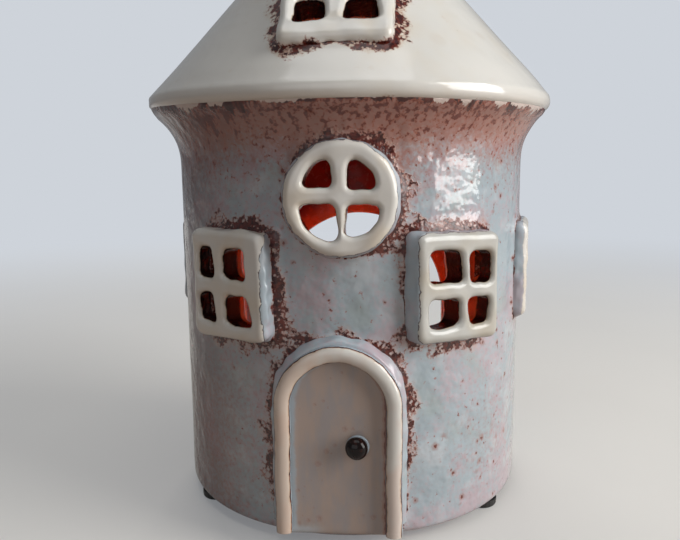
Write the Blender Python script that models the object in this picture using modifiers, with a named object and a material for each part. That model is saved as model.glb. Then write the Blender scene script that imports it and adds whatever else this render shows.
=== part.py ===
# A round pottery cottage that holds a tealight: a pierced, flared wall on a floor slab, a rolled-edge
# cone roof, slab windows and a coil-framed door luted on, rubber feet, and the tealight inside.
# Metres, +Z up. The door faces -Y, the tealight goes in through the arch at +Y, the feet stand on z = 0.
import math

import bmesh
import bpy
from mathutils import Vector

# Fits
lute_gap = 0.0003             # between pieces that are stuck to, or rest on, each other
wick_gap = 0.0003             # around the wick, in the wax and in its holder

# Feet: stick-on rubber bumpers under the edge of the base
foot_radius = 0.0050
foot_height = 0.0025
foot_round = 0.0010
foot_inset = 0.0055           # from the outside of the wall to the middle of a foot
foot_azimuth = 57.0           # degrees to either side of the front, and of the back

# Floor slab and wall
floor_thickness = 0.0060
wall_radius = 0.0575          # outside of the straight part
wall_thickness = 0.0050
straight_height = 0.1055      # from the wall's foot to where it starts to flare
flare_height = 0.0168
flare_reach = 0.0075          # how far the flare stands out past the straight part
flare_power = 2.8
base_round = 0.0020

# Arch in the back of the wall, from the floor up
arch_width = 0.0696
arch_height = 0.0803

# Roof: a cone with its edge rolled round
roof_thickness = 0.0050
roof_pitch = 48.0             # degrees from level
rim_roll = 0.00305            # radius of the rolled edge
rim_overhang = 0.0018         # how far the roll stands out past the top of the wall
roof_top_radius = 0.0100      # where the cone is cut off under the chimney pot
vent_radius = 0.0055

# Chimney pot
pot_radius = 0.0092           # at its foot
pot_neck_radius = 0.0080
pot_height = 0.0130
pot_lip = 0.0008              # how far the lip stands out past the neck
pot_lip_height = 0.0030

# Window slabs with four panes cut through slab and wall
window_width = 0.0270
window_height = 0.0305
window_proud = 0.0045         # how far the face of a front window stands out past the wall
side_proud = 0.0030           # and that of a side window
window_corner = 0.0028
window_edge = 0.0011          # softening of the slab's edges and of the panes'
side_margin = 0.0032
end_margin = 0.0040
mullion = 0.0034
transom = 0.0040
pane_corner = 0.0016
hand_cut = 0.0004             # how far a pane's corners stray from square
window_centre = 0.0731        # above the wall's foot
front_left_azimuth = -30.5    # degrees from the door, to the right seen from the front
front_right_azimuth = 33.0
side_left_azimuth = -103.0
side_right_azimuth = 79.0

# Round window over the door
round_radius = 0.0155
round_border = 0.0046
upper_bar = 0.0044            # width of the upright bar above the cross
lower_bar = 0.0026            # and below it
cross_bar = 0.0046
round_pane_corner = 0.0008
round_drop = 0.0073           # its middle, below where the wall starts to flare
round_azimuth = 1.7

# Window in the roof
roof_window_width = 0.0308
roof_window_length = 0.0350
roof_window_proud = 0.0030
roof_window_setback = 0.0130  # up the slope from the rolled edge
roof_low_margin = 0.0058
roof_high_margin = 0.0046
roof_side_margin = 0.0043
roof_mullion = 0.0053

# Door
door_width = 0.0364
door_foot = 0.0022            # above the wall's foot
door_top = 0.0592             # above the wall's foot
door_proud = 0.0028
coil_radius = 0.00235
knob_radius = 0.0030
knob_height = 0.0042
knob_seat = 0.0021            # radius of its flat back
knob_offset = 0.0052          # to the right of the middle
knob_centre = 0.0294          # above the wall's foot

# Tealight
cup_radius = 0.0192
cup_height = 0.0160
cup_thickness = 0.0005
cup_bead = 0.0004
wax_height = 0.0125
wax_edge = 0.0006
wick_radius = 0.0008
wick_height = 0.0045          # above the wax
holder_radius = 0.0065
holder_collar_radius = 0.0017
holder_collar_height = 0.0030
holder_thickness = 0.0005

# Facets
round_steps = 64              # a multiple of four, so that the eave reaches its full width along X and Y
cup_steps = 40
small_steps = 24
flare_steps = 6
crown_steps = 16              # half a turn of an arch
circle_points = 36
knob_steps = 9
arc_steps = 3

# Heights that follow from the sizes above
wall_foot = foot_height + lute_gap
floor_top = wall_foot + floor_thickness
wall_height = straight_height + flare_height
wall_top = wall_foot + wall_height
tealight_foot = floor_top + lute_gap


def start_fresh():
    for old in list(bpy.data.objects):
        bpy.data.objects.remove(old)


def new_collection(name):
    made = bpy.data.collections.new(name)
    bpy.context.scene.collection.children.link(made)
    return made


start_fresh()
pieces = new_collection("beehive_tealight_holder")
cutters = new_collection("cutters")


# Materials

def finish(name, colour, roughness, metallic=0.0, coat=0.0):
    made = bpy.data.materials.new(name)
    made.use_nodes = True
    shader = made.node_tree.nodes["Principled BSDF"]
    shader.inputs["Base Color"].default_value = (*colour, 1.0)
    shader.inputs["Roughness"].default_value = roughness
    shader.inputs["Metallic"].default_value = metallic
    shader.inputs["Coat Weight"].default_value = coat
    made.diffuse_color = (*colour, 1.0)
    return made


wall_glaze = finish("wall_glaze", (0.30, 0.34, 0.36), 0.14, coat=0.6)
roof_glaze = finish("roof_glaze", (0.74, 0.70, 0.61), 0.16, coat=0.6)
window_glaze = finish("window_glaze", (0.76, 0.72, 0.63), 0.14, coat=0.6)
door_glaze = finish("door_glaze", (0.20, 0.17, 0.15), 0.22, coat=0.5)
coil_glaze = finish("coil_glaze", (0.62, 0.52, 0.42), 0.16, coat=0.6)
knob_glaze = finish("knob_glaze", (0.010, 0.007, 0.006), 0.12, coat=0.8)
floor_clay = finish("floor_clay", (0.48, 0.09, 0.02), 0.30, coat=0.3)
foot_rubber = finish("foot_rubber", (0.012, 0.012, 0.012), 0.60)
cup_metal = finish("cup_metal", (0.80, 0.80, 0.80), 0.28, metallic=1.0)
candle_wax = finish("candle_wax", (0.86, 0.84, 0.78), 0.42)
wick_cotton = finish("wick_cotton", (0.78, 0.74, 0.66), 0.90)
holder_metal = finish("holder_metal", (0.62, 0.62, 0.62), 0.34, metallic=1.0)


# Making and placing pieces

def keep(piece, material):
    pieces.objects.link(piece)
    piece.data.materials.clear()
    piece.data.materials.append(material)
    for polygon in piece.data.polygons:
        polygon.use_smooth = True
    piece.data.set_sharp_from_angle(angle=math.radians(35.0))
    return piece


def keep_cutter(piece):
    cutters.objects.link(piece)
    piece.hide_render = True
    piece.display_type = "WIRE"
    return piece


def place(piece, location=(0.0, 0.0, 0.0), rotation=(0.0, 0.0, 0.0)):
    piece.location = location
    piece.rotation_euler = rotation
    return piece


def facing(azimuth, distance, height, lean=0.0):
    # Where a flat piece goes: its own +Z points away from the house, +Y up the wall or slope
    turn = math.radians(azimuth)
    location = (distance * math.sin(turn), -distance * math.cos(turn), height)
    rotation = (math.radians(90.0 - lean), 0.0, turn)
    return location, rotation


def cut(piece, cutter):
    step = piece.modifiers.new("cut_" + cutter.name, "BOOLEAN")
    step.operation = "DIFFERENCE"
    step.solver = "EXACT"
    step.object = cutter


# A turned piece: a profile of (radius, height) points, down its outer side, spun round the axis.
# A closed profile makes a ring; an open one starts and ends on the axis.
def turned(name, profile, closed, steps):
    mesh = bpy.data.meshes.new(name)
    rows = len(profile)
    edges = [(i, i + 1) for i in range(rows - 1)]
    if closed:
        edges.append((rows - 1, 0))
    mesh.from_pydata([(radius, 0.0, height) for radius, height in profile], edges, [])
    piece = bpy.data.objects.new(name, mesh)
    spin = piece.modifiers.new("turn", "SCREW")
    spin.axis = "Z"
    spin.angle = math.tau
    spin.steps = steps
    spin.render_steps = steps
    spin.use_merge_vertices = not closed
    spin.merge_threshold = 0.00001
    return piece


# A piece cut from a rolled slab: flat outlines, the first its edge and the others holes in it,
# with its face at its own z = 0 and its back at -thickness.
def slab(name, loops, thickness, edge):
    data = bpy.data.curves.new(name, "CURVE")
    data.dimensions = "2D"
    data.fill_mode = "BOTH"
    data.extrude = thickness / 2 - edge
    data.bevel_depth = edge
    data.bevel_resolution = 1
    data.offset = -edge
    for loop in loops:
        line = data.splines.new("POLY")
        line.points.add(len(loop) - 1)
        for point, (x, y) in zip(line.points, loop):
            point.co = (x, y, 0.0, 1.0)
        line.use_cyclic_u = True
    return as_mesh(name, data, -thickness / 2)


# Turn a curve into a welded mesh, moved along its own z
def as_mesh(name, data, shift):
    source = bpy.data.objects.new(name + "_curve", data)
    bpy.context.scene.collection.objects.link(source)
    bpy.context.view_layer.update()
    graph = bpy.context.evaluated_depsgraph_get()
    mesh = bpy.data.meshes.new_from_object(source.evaluated_get(graph))
    mesh.name = name
    bpy.data.objects.remove(source)
    weld = bmesh.new()
    weld.from_mesh(mesh)
    bmesh.ops.remove_doubles(weld, verts=weld.verts, dist=0.00001)
    bmesh.ops.translate(weld, verts=weld.verts, vec=(0.0, 0.0, shift))
    weld.to_mesh(mesh)
    weld.free()
    return bpy.data.objects.new(name, mesh)


# Outlines

def arc(centre, radius, start, end, steps):
    points = []
    for i in range(steps + 1):
        angle = math.radians(start + (end - start) * i / steps)
        points.append((centre[0] + radius * math.cos(angle), centre[1] + radius * math.sin(angle)))
    return points


def circle(radius):
    return arc((0.0, 0.0), radius, 0.0, 360.0, circle_points)[:-1]


# Corners given as (x, y, radius), each turned into an arc; a radius of 0 stays a point
def rounded_loop(corners):
    points = []
    count = len(corners)
    for i, (x, y, radius) in enumerate(corners):
        corner = Vector((x, y))
        if radius == 0.0:
            points.append(tuple(corner))
            continue
        before = (Vector(corners[i - 1][:2]) - corner).normalized()
        after = (Vector(corners[(i + 1) % count][:2]) - corner).normalized()
        half = before.angle(after) / 2
        middle = corner + (before + after).normalized() * radius / math.sin(half)
        first = corner + before * radius / math.tan(half) - middle
        last = corner + after * radius / math.tan(half) - middle
        sweep = first.angle_signed(last)
        for step in range(arc_steps):
            turn = -sweep * step / (arc_steps - 1)
            bend = Vector((first.x * math.cos(turn) - first.y * math.sin(turn),
                           first.x * math.sin(turn) + first.y * math.cos(turn)))
            points.append(tuple(middle + bend))
    return points


def rectangle(width, low, high, corner):
    half = width / 2
    return rounded_loop([(-half, low, corner), (half, low, corner),
                         (half, high, corner), (-half, high, corner)])


# Four panes round a cross, with corners that stray as a knife does in soft clay
def cross_panes(width, low, high, upright, seed):
    pane_width = (width - upright) / 2
    middle = (low + high) / 2
    panes = []
    for row, (bottom, top) in enumerate(((low, middle - transom / 2), (middle + transom / 2, high))):
        for column in range(2):
            left = -width / 2 + column * (pane_width + upright)
            right = left + pane_width
            corners = []
            for k, (x, y) in enumerate(((left, bottom), (right, bottom), (right, top), (left, top))):
                stray = seed + 7.0 * row + 13.0 * column + 3.0 * k
                corners.append((x + hand_cut * math.sin(stray), y + hand_cut * math.cos(1.7 * stray),
                                pane_corner))
            panes.append(rounded_loop(corners))
    return panes


# One pane of the round window: a quarter of its inside, less half of each bar
def quarter_pane(side, level, upright):
    inner = round_radius - round_border
    x0 = upright / 2
    y0 = cross_bar / 2
    start = math.degrees(math.asin(y0 / inner))
    end = math.degrees(math.acos(x0 / inner))
    rim = arc((0.0, 0.0), inner, start, end, 2 * arc_steps)
    corners = [(x0, y0, round_pane_corner), (*rim[0], round_pane_corner)]
    corners += [(x, y, 0.0) for x, y in rim[1:-1]]
    corners.append((*rim[-1], round_pane_corner))
    loop = [(side * x, level * y) for x, y in rounded_loop(corners)]
    return loop if side == level else loop[::-1]


def round_panes():
    return [quarter_pane(1, 1, upper_bar), quarter_pane(-1, 1, upper_bar),
            quarter_pane(-1, -1, lower_bar), quarter_pane(1, -1, lower_bar)]


def door_outline(width, low, high):
    half = width / 2
    crown = arc((0.0, high - half), half, 0.0, 180.0, crown_steps)
    return [(-half, low), (half, low)] + crown


# The wall's outer radius at a height above its foot
def wall_outer(height):
    rise = max(0.0, height - straight_height) / flare_height
    return wall_radius + flare_reach * rise ** flare_power


def wall_line(offset):
    flare = [straight_height + flare_height * i / flare_steps for i in range(flare_steps + 1)]
    return [(wall_outer(height) + offset, wall_foot + height) for height in reversed(flare)]


def make_floor():
    radius = wall_radius - wall_thickness - lute_gap
    piece = turned("floor_slab", [(0.0, floor_top), (radius, floor_top), (radius, wall_foot),
                                  (0.0, wall_foot)], False, round_steps)
    return keep(piece, floor_clay)


def make_wall(openings):
    outside = wall_line(0.0)
    foot = arc((wall_radius - base_round, wall_foot + base_round), base_round, 0.0, -90.0, 3)
    inside = [(radius, height) for radius, height in reversed(wall_line(-wall_thickness))]
    profile = outside + foot + [(wall_radius - wall_thickness, wall_foot)] + inside
    piece = turned("body_wall", profile, True, round_steps)
    for opening in openings:
        cut(piece, opening)
    return keep(piece, wall_glaze)


# The solid space that the wall and all inside it take up, a gap larger, to cut the slabs' backs
def wall_envelope():
    line = wall_line(lute_gap)
    top = line[0]
    below = (line[-1][0], wall_foot - wall_thickness)
    profile = [(0.0, top[1]), *line, below, (0.0, below[1])]
    return keep_cutter(turned("wall_envelope", profile, False, round_steps))


# Roof geometry in its (radius, height) section
slope = math.radians(roof_pitch)
eave_foot = wall_top + lute_gap
rim_centre = (wall_outer(wall_height) + rim_overhang - rim_roll, eave_foot + rim_roll)
slope_normal = (math.sin(slope), math.cos(slope))
eave_point = (rim_centre[0] + rim_roll * slope_normal[0], rim_centre[1] + rim_roll * slope_normal[1])


# Height of the cone's surface, moved outwards along its normal, at a radius
def cone_height(radius, outward):
    reach = eave_point[0] * slope_normal[0] + eave_point[1] * slope_normal[1] + outward
    return (reach - radius * slope_normal[0]) / slope_normal[1]


roof_top = cone_height(roof_top_radius, 0.0)


def make_roof(openings):
    seat_radius = wall_outer(wall_height) - wall_thickness
    roll = arc(rim_centre, rim_roll, 90.0 - roof_pitch, -90.0, 2 * arc_steps)
    profile = [(roof_top_radius, roof_top), *roll, (seat_radius, eave_foot),
               (seat_radius, cone_height(seat_radius, -roof_thickness)),
               (vent_radius, cone_height(vent_radius, -roof_thickness)), (vent_radius, roof_top)]
    piece = turned("roof_cone", profile, True, round_steps)
    for opening in openings:
        cut(piece, opening)
    return keep(piece, roof_glaze)


def roof_envelope():
    low = eave_point[0]
    profile = [(0.0, cone_height(0.0, lute_gap)), (low, cone_height(low, lute_gap)),
               (low, wall_top), (0.0, wall_top)]
    return keep_cutter(turned("roof_envelope", profile, False, round_steps))


def make_chimney_pot():
    foot = roof_top + lute_gap
    top = foot + pot_height
    lip_radius = pot_neck_radius + pot_lip
    lip_foot = top - pot_lip_height
    lip = arc((lip_radius - pot_lip_height / 2, top - pot_lip_height / 2), pot_lip_height / 2, 90.0, -90.0, 6)
    profile = [*lip, (pot_neck_radius, lip_foot), (pot_radius, foot), (vent_radius, foot), (vent_radius, top)]
    return keep(turned("chimney_pot", profile, True, small_steps), roof_glaze)


# Every window is a slab whose back follows the wall or roof, and a cutter that carries its panes
# on through what is behind it
def make_window(name, outline, panes, proud, placing, behind):
    depth = window_depth(proud)
    piece = slab(name, [outline, *panes], depth, window_edge)
    location, rotation = placing
    place(piece, location, rotation)
    cut(piece, behind)
    keep(piece, window_glaze)
    through = slab(name + "_panes", panes, 2 * depth, 0.0)
    place(through, location, rotation)
    return keep_cutter(through)


# Deep enough to pass through a slab and the wall behind its outermost pane
def window_depth(proud):
    half = max(window_width / 2, round_radius)
    return proud + wall_thickness + wall_radius * (1 - math.cos(math.asin(half / wall_radius)))


def wall_window(name, azimuth, proud, behind, seed):
    low = -window_height / 2
    high = window_height / 2
    outline = rectangle(window_width, low, high, window_corner)
    panes = cross_panes(window_width - 2 * side_margin, low + end_margin, high - end_margin, mullion, seed)
    placing = facing(azimuth, wall_radius + proud, wall_foot + window_centre)
    return make_window(name, outline, panes, proud, placing, behind)


def round_window(behind):
    height = wall_foot + straight_height - round_drop
    placing = facing(round_azimuth, wall_radius + window_proud, height)
    return make_window("round_window", circle(round_radius), round_panes(), window_proud, placing, behind)


def roof_window(behind):
    outline = rectangle(roof_window_width, 0.0, roof_window_length, window_corner)
    panes = cross_panes(roof_window_width - 2 * roof_side_margin, roof_low_margin,
                        roof_window_length - roof_high_margin, roof_mullion, 2.0)
    out = roof_window_proud
    distance = eave_point[0] - roof_window_setback * math.cos(slope) + out * slope_normal[0]
    height = eave_point[1] + roof_window_setback * math.sin(slope) + out * slope_normal[1]
    placing = facing(0.0, distance, height, 90.0 - roof_pitch)
    return make_window("roof_window", outline, panes, out, placing, behind)


def make_rear_arch():
    loop = door_outline(arch_width, 0.0, arch_height)
    reach = 2 * wall_thickness + wall_radius
    cutter = slab("rear_arch", [loop], reach, 0.0)
    place(cutter, *facing(180.0, wall_radius + wall_thickness, floor_top))
    return keep_cutter(cutter)


def make_door(behind):
    face = wall_radius + door_proud
    outline = door_outline(door_width, door_foot, door_top)
    depth = door_proud + wall_thickness
    piece = slab("door_slab", [outline], depth, window_edge)
    place(piece, *facing(0.0, face, wall_foot))
    cut(piece, behind)
    keep(piece, door_glaze)
    make_door_coil(face)
    make_knob(face)


# A rolled coil bent round the door's edge, pressed flat on its back
def make_door_coil(face):
    half = door_width / 2 - coil_radius - lute_gap
    crown = arc((0.0, door_top - lute_gap - coil_radius - half), half, 0.0, 180.0, crown_steps)
    foot = door_foot + lute_gap
    path = [(half, foot), *crown, (-half, foot)]
    data = bpy.data.curves.new("door_coil", "CURVE")
    data.dimensions = "3D"
    data.bevel_depth = coil_radius
    data.bevel_resolution = 3
    data.use_fill_caps = True
    line = data.splines.new("POLY")
    line.points.add(len(path) - 1)
    for point, (x, y) in zip(line.points, path):
        point.co = (x, y, 0.0, 1.0)
    piece = as_mesh("door_coil", data, lute_gap)
    place(piece, *facing(0.0, face, wall_foot))
    back = slab("coil_back", [rectangle(2 * door_width, -door_width, door_top + door_width, 0.0)],
                2 * coil_radius, 0.0)
    place(back, *facing(0.0, face + lute_gap, wall_foot))
    cut(piece, keep_cutter(back))
    keep(piece, coil_glaze)


def make_knob(face):
    back = 180.0 - math.degrees(math.asin(knob_seat / knob_radius))
    ball = knob_height / (1 - math.cos(math.radians(back)))
    dome = []
    for i in range(knob_steps + 1):
        angle = math.radians(back * i / knob_steps)
        dome.append((knob_radius * math.sin(angle), knob_height - ball + ball * math.cos(angle)))
    profile = [*dome, (0.0, 0.0)]
    piece = turned("door_knob", profile, False, small_steps)
    location, rotation = facing(0.0, face + lute_gap, wall_foot + knob_centre)
    place(piece, (knob_offset, location[1], location[2]), rotation)
    keep(piece, knob_glaze)


def make_feet():
    shoulder = arc((foot_radius - foot_round, foot_round), foot_round, 0.0, -90.0, 3)
    profile = [(0.0, foot_height), (foot_radius, foot_height), *shoulder, (0.0, 0.0)]
    places = {"foot_front_left": -foot_azimuth, "foot_front_right": foot_azimuth,
              "foot_back_left": foot_azimuth - 180.0, "foot_back_right": 180.0 - foot_azimuth}
    for name, azimuth in places.items():
        piece = turned(name, profile, False, small_steps)
        place(piece, facing(azimuth, wall_radius - foot_inset, 0.0)[0])
        keep(piece, foot_rubber)


# Tealight: everything in it is measured up from the cup's underside
wax_foot = cup_thickness + lute_gap
wax_top = wax_foot + wax_height
wick_bore = wick_radius + wick_gap
holder_disc_top = wax_foot + holder_thickness
holder_top = wax_foot + holder_collar_height


def cup_profile():
    inner = cup_radius - cup_thickness
    bead = arc((cup_radius, cup_height - cup_bead), cup_bead, 90.0, -90.0, arc_steps)
    return [(0.0, cup_thickness), (inner, cup_thickness), (inner, cup_height), *bead,
            (cup_radius, cup_thickness), (inner, 0.0), (0.0, 0.0)]


# The wax is cast round the wick's holder, so its underside has the holder's shape
def wax_profile():
    outer = cup_radius - cup_thickness - lute_gap
    disc = holder_radius + lute_gap
    collar = holder_collar_radius + lute_gap
    return [(wick_bore, wax_top), (outer - wax_edge, wax_top), (outer, wax_top - wax_edge),
            (outer, wax_foot), (disc, wax_foot), (disc, holder_disc_top + lute_gap),
            (collar, holder_disc_top + lute_gap), (collar, holder_top + lute_gap),
            (wick_bore, holder_top + lute_gap)]


def holder_profile():
    return [(wick_bore, holder_top), (holder_collar_radius, holder_top),
            (holder_collar_radius, holder_disc_top), (holder_radius, holder_disc_top),
            (holder_radius, wax_foot), (wick_bore, wax_foot)]


def wick_profile():
    top = wax_top + wick_height
    return [(0.0, top), (wick_radius, top - wick_radius / 2), (wick_radius, wax_foot), (0.0, wax_foot)]


# It stands free on the floor, and slides in and out over the floor's edge through the rear arch
def make_tealight():
    carrier = bpy.data.objects.new("tealight_carrier", None)
    carrier.location = (0.0, 0.0, tealight_foot)
    pieces.objects.link(carrier)
    made = [keep(turned("tealight_cup", cup_profile(), False, cup_steps), cup_metal),
            keep(turned("tealight_wax", wax_profile(), True, cup_steps), candle_wax),
            keep(turned("wick_holder", holder_profile(), True, small_steps), holder_metal),
            keep(turned("tealight_wick", wick_profile(), False, small_steps // 2), wick_cotton)]
    for piece in made:
        piece.parent = carrier


wall_space = wall_envelope()
roof_space = roof_envelope()
through_wall = [wall_window("front_left_window", front_left_azimuth, window_proud, wall_space, 0.0),
                wall_window("front_right_window", front_right_azimuth, window_proud, wall_space, 1.0),
                wall_window("side_left_window", side_left_azimuth, side_proud, wall_space, 4.0),
                wall_window("side_right_window", side_right_azimuth, side_proud, wall_space, 5.0),
                round_window(wall_space), make_rear_arch()]
through_roof = [roof_window(roof_space)]
make_floor()
make_wall(through_wall)
make_roof(through_roof)
make_chimney_pot()
make_door(wall_space)
make_feet()
make_tealight()
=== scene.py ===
import math

import bmesh
import bpy
import numpy as np
from mathutils import Matrix, Vector


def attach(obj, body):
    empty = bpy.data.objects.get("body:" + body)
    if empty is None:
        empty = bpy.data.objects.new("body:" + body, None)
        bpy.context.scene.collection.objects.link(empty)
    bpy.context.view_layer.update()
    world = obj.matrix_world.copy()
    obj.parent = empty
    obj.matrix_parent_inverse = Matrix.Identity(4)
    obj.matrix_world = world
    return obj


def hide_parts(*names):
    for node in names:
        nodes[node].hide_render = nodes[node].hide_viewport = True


# A round pottery cottage for a tealight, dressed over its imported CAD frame.
# Metres, +Z up. The door faces -Y, and the tealight slides out through the arch at +Y.
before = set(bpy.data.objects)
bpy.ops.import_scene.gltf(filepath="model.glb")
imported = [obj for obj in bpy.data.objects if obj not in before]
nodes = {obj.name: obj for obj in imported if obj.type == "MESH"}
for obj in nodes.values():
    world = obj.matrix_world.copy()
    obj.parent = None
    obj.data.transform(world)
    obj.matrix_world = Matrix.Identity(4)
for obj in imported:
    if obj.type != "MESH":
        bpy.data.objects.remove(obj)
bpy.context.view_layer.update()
print("frame loaded, CAD nodes:", len(nodes))


# Node helpers

class Wire:
    # A value in a node tree, written in sums as a number is
    def __init__(self, tree, socket):
        self.tree = tree
        self.socket = socket

    def __add__(self, other):
        return calc("ADD", self, other)

    def __sub__(self, other):
        return calc("SUBTRACT", self, other)

    def __rsub__(self, other):
        return calc("SUBTRACT", other, self)

    def __mul__(self, other):
        return calc("MULTIPLY", self, other)

    def __truediv__(self, other):
        return calc("DIVIDE", self, other)

    def __rtruediv__(self, other):
        return calc("DIVIDE", other, self)


def feed(socket, value):
    if isinstance(value, Wire):
        value.tree.links.new(value.socket, socket)
    elif value is not None:
        socket.default_value = value


def addNode(tree, kind, inputs=None, **settings):
    # Makes a node and returns its outputs as wires, by number and by name
    made = tree.nodes.new(kind)
    for name, value in settings.items():
        setattr(made, name, value)
    for label, value in (inputs or {}).items():
        feed(made.inputs[label], value)
    found = {}
    for number, socket in enumerate(made.outputs):
        found[number] = Wire(tree, socket)
        found[socket.name] = found[number]
    return found


def treeOf(values):
    return next(value.tree for value in values if isinstance(value, Wire))


def calc(operation, *values, clamp=False):
    given = dict(enumerate(values))
    return addNode(treeOf(values), "ShaderNodeMath", given, operation=operation, use_clamp=clamp)[0]


def vectorCalc(operation, *values):
    return addNode(treeOf(values), "ShaderNodeVectorMath", dict(enumerate(values)), operation=operation)[0]


def scaled(vector, share):
    return addNode(vector.tree, "ShaderNodeVectorMath", {0: vector, "Scale": share}, operation="SCALE")[0]


def ramp(value, low, high, start=0.0, end=1.0):
    given = dict(enumerate((value, low, high, start, end)))
    return addNode(value.tree, "ShaderNodeMapRange", given, interpolation_type="SMOOTHSTEP")[0]


def grain(spot, scale, detail=2.0, rough=0.5, output="Fac"):
    given = {"Vector": spot, "Scale": scale, "Detail": detail, "Roughness": rough}
    return addNode(spot.tree, "ShaderNodeTexNoise", given, noise_dimensions="3D")[output]


def cells(spot, scale):
    return addNode(spot.tree, "ShaderNodeTexVoronoi", {"Vector": spot, "Scale": scale}, feature="F1")


def axesOf(spot):
    return addNode(spot.tree, "ShaderNodeSeparateXYZ", {0: spot})


def fromAxes(tree, x, y, z):
    return addNode(tree, "ShaderNodeCombineXYZ", {"X": x, "Y": y, "Z": z})[0]


def layer(tree, name):
    return addNode(tree, "ShaderNodeAttribute", attribute_type="GEOMETRY", attribute_name=name)["Fac"]


def millimetres(tree, stretch=(1.0, 1.0, 1.0)):
    # Place on the piece in millimetres; a stretch under 1 draws a pattern out along that axis
    place = addNode(tree, "ShaderNodeTexCoord")["Object"]
    return vectorCalc("MULTIPLY", place, tuple(1000.0 * share for share in stretch))


def swept(tree, stretch):
    # As millimetres, but unrolled on to one radius, so that a pattern follows the flare down from the eaves
    axes = axesOf(millimetres(tree))
    flat = vectorCalc("NORMALIZE", fromAxes(tree, axes["X"], axes["Y"], 0.0))
    return vectorCalc("ADD", scaled(flat, 57.5), fromAxes(tree, 0.0, 0.0, axes["Z"] * stretch))


def newGroup(name, values, outputs):
    group = bpy.data.node_groups.new(name, "ShaderNodeTree")
    group.interface.new_socket(name="Spot", in_out="INPUT", socket_type="NodeSocketVector")
    for label, value in values.items():
        socket = group.interface.new_socket(name=label, in_out="INPUT", socket_type="NodeSocketFloat")
        socket.default_value = value
    for label in outputs:
        group.interface.new_socket(name=label, in_out="OUTPUT", socket_type="NodeSocketFloat")
    return group, addNode(group, "NodeGroupInput"), group.nodes.new("NodeGroupOutput").inputs


def useGroup(group, spot, **values):
    return addNode(spot.tree, "ShaderNodeGroup", {"Spot": spot, **values}, node_tree=group)


# Where glaze runs thin off an edge, the iron slip under it shows: solid brown at the edge, then a brown
# lace round pale cells, then a warm veil. Reach is 1 at the edge and falls to 0 where the clean glaze starts.
def makeBrokenGlaze():
    group, given, out = newGroup("brokenGlaze", {"Reach": 0.0, "Cell": 2.0, "Ragged": 0.8},
                                 ("Dark", "Ember", "Veil"))
    spot, reach, cell = given["Spot"], given["Reach"], given["Cell"]
    wander = vectorCalc("SUBTRACT", grain(spot, 0.45, 2.0, output="Color"), (0.5, 0.5, 0.5))
    strayed = vectorCalc("ADD", spot, scaled(wander, cell * 1.6))
    pitch = 1.0 / cell
    broad = grain(spot, 0.2, 3.0) - 0.5
    fine = grain(spot, 1.3, 3.0, 0.6) - 0.5
    near = (broad * given["Ragged"] + reach * 0.92 + fine * 0.5) * ramp(reach, 0.0, 0.10)
    smallGap = cells(strayed, pitch)["Distance"] - ramp(near, -0.3, 1.2, 1.40, 0.08)
    largeGap = cells(strayed, pitch * 0.42)["Distance"] - ramp(near, 0.0, 0.95, 1.25, 0.14)
    edge = fine * 0.4 + calc("MINIMUM", smallGap, largeGap)
    dark = ramp(edge, -0.05, 0.05)
    feed(out["Dark"], dark)
    feed(out["Ember"], calc("SUBTRACT", ramp(edge, -0.26, -0.03), dark, clamp=True))
    feed(out["Veil"], ramp(near, 0.30, 0.75))
    return group


# Iron specks with a soft bloom round each; Amount is both how many there are and how large they grow
def makeIronSpecks():
    group, given, out = newGroup("ironSpecks", {"Spacing": 2.0, "Amount": 0.3}, ("Core", "Bloom"))
    spot, amount = given["Spot"], given["Amount"]
    strayed = vectorCalc("ADD", spot, scaled(grain(spot, 1.3, 2.0, output="Color"), 0.9))
    net = cells(strayed, 1.0 / given["Spacing"])
    chance = addNode(group, "ShaderNodeSeparateColor", {0: net["Color"]})
    size = (calc("POWER", chance[0], 3.0) * 0.26 + 0.07) * (amount * 0.8 + 0.5)
    there = ramp(amount - chance[1], 0.0, 0.06)
    share = net["Distance"] / size
    feed(out["Core"], ramp(share, 1.0, 0.6) * there)
    feed(out["Bloom"], ramp(share, 2.6, 0.7) * there)
    return group


# The skin of a poured glaze: a slow swell and a finer ripple, as a height in millimetres
def makeGlazeSkin():
    group, given, out = newGroup("glazeSkin", {"Swell": 0.10, "Ripple": 0.02}, ("Height",))
    spot = given["Spot"]
    feed(out["Height"], grain(spot, 0.38, 1.0) * given["Ripple"] + grain(spot, 0.125, 1.0) * given["Swell"])
    return group


brokenGlaze = makeBrokenGlaze()
ironSpecks = makeIronSpecks()
glazeSkin = makeGlazeSkin()
print("shader groups built")


# Materials, in colours from 0 to 255 as on a paint chip
colours = {
    "mist": (166, 180, 188), "pale": (190, 197, 203), "lilac": (186, 172, 180), "sage": (160, 172, 170),
    "rose": (160, 108, 93), "rust": (156, 82, 56), "slip": (58, 14, 8), "slipWarm": (104, 40, 27),
    "sheen": (96, 74, 84), "lace": (205, 178, 166), "cream": (223, 221, 215), "creamWarm": (219, 208, 190),
    "runs": (212, 196, 188), "tan": (190, 158, 118), "coilTanAndShade": (212, 180, 156),
    "coilCream": (222, 208, 198), "taupe": (178, 160, 150), "taupeCool": (165, 157, 156),
    "sky": (170, 182, 192), "ember": (243, 122, 72), "emberDeep": (176, 58, 36), "wine": (134, 48, 40),
    "reveal": (28, 14, 13), "shadow": (214, 216, 216), "knob": (20, 11, 10), "knobWarm": (46, 22, 17),
    "rubber": (22, 22, 24), "dust": (58, 56, 54), "cupDull": (186, 186, 188), "cupBright": (224, 224, 226),
    "wax": (236, 233, 224), "waxPale": (246, 244, 238), "holder": (150, 150, 150),
    "holderPale": (184, 182, 178), "cotton": (206, 200, 186), "cottonPale": (242, 238, 228),
    "floor": (232, 227, 218), "floorDull": (190, 180, 168), "floorBounce": (136, 110, 88),
    "around": (206, 211, 218), "aroundUnseen": (226, 230, 236),
}


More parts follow.
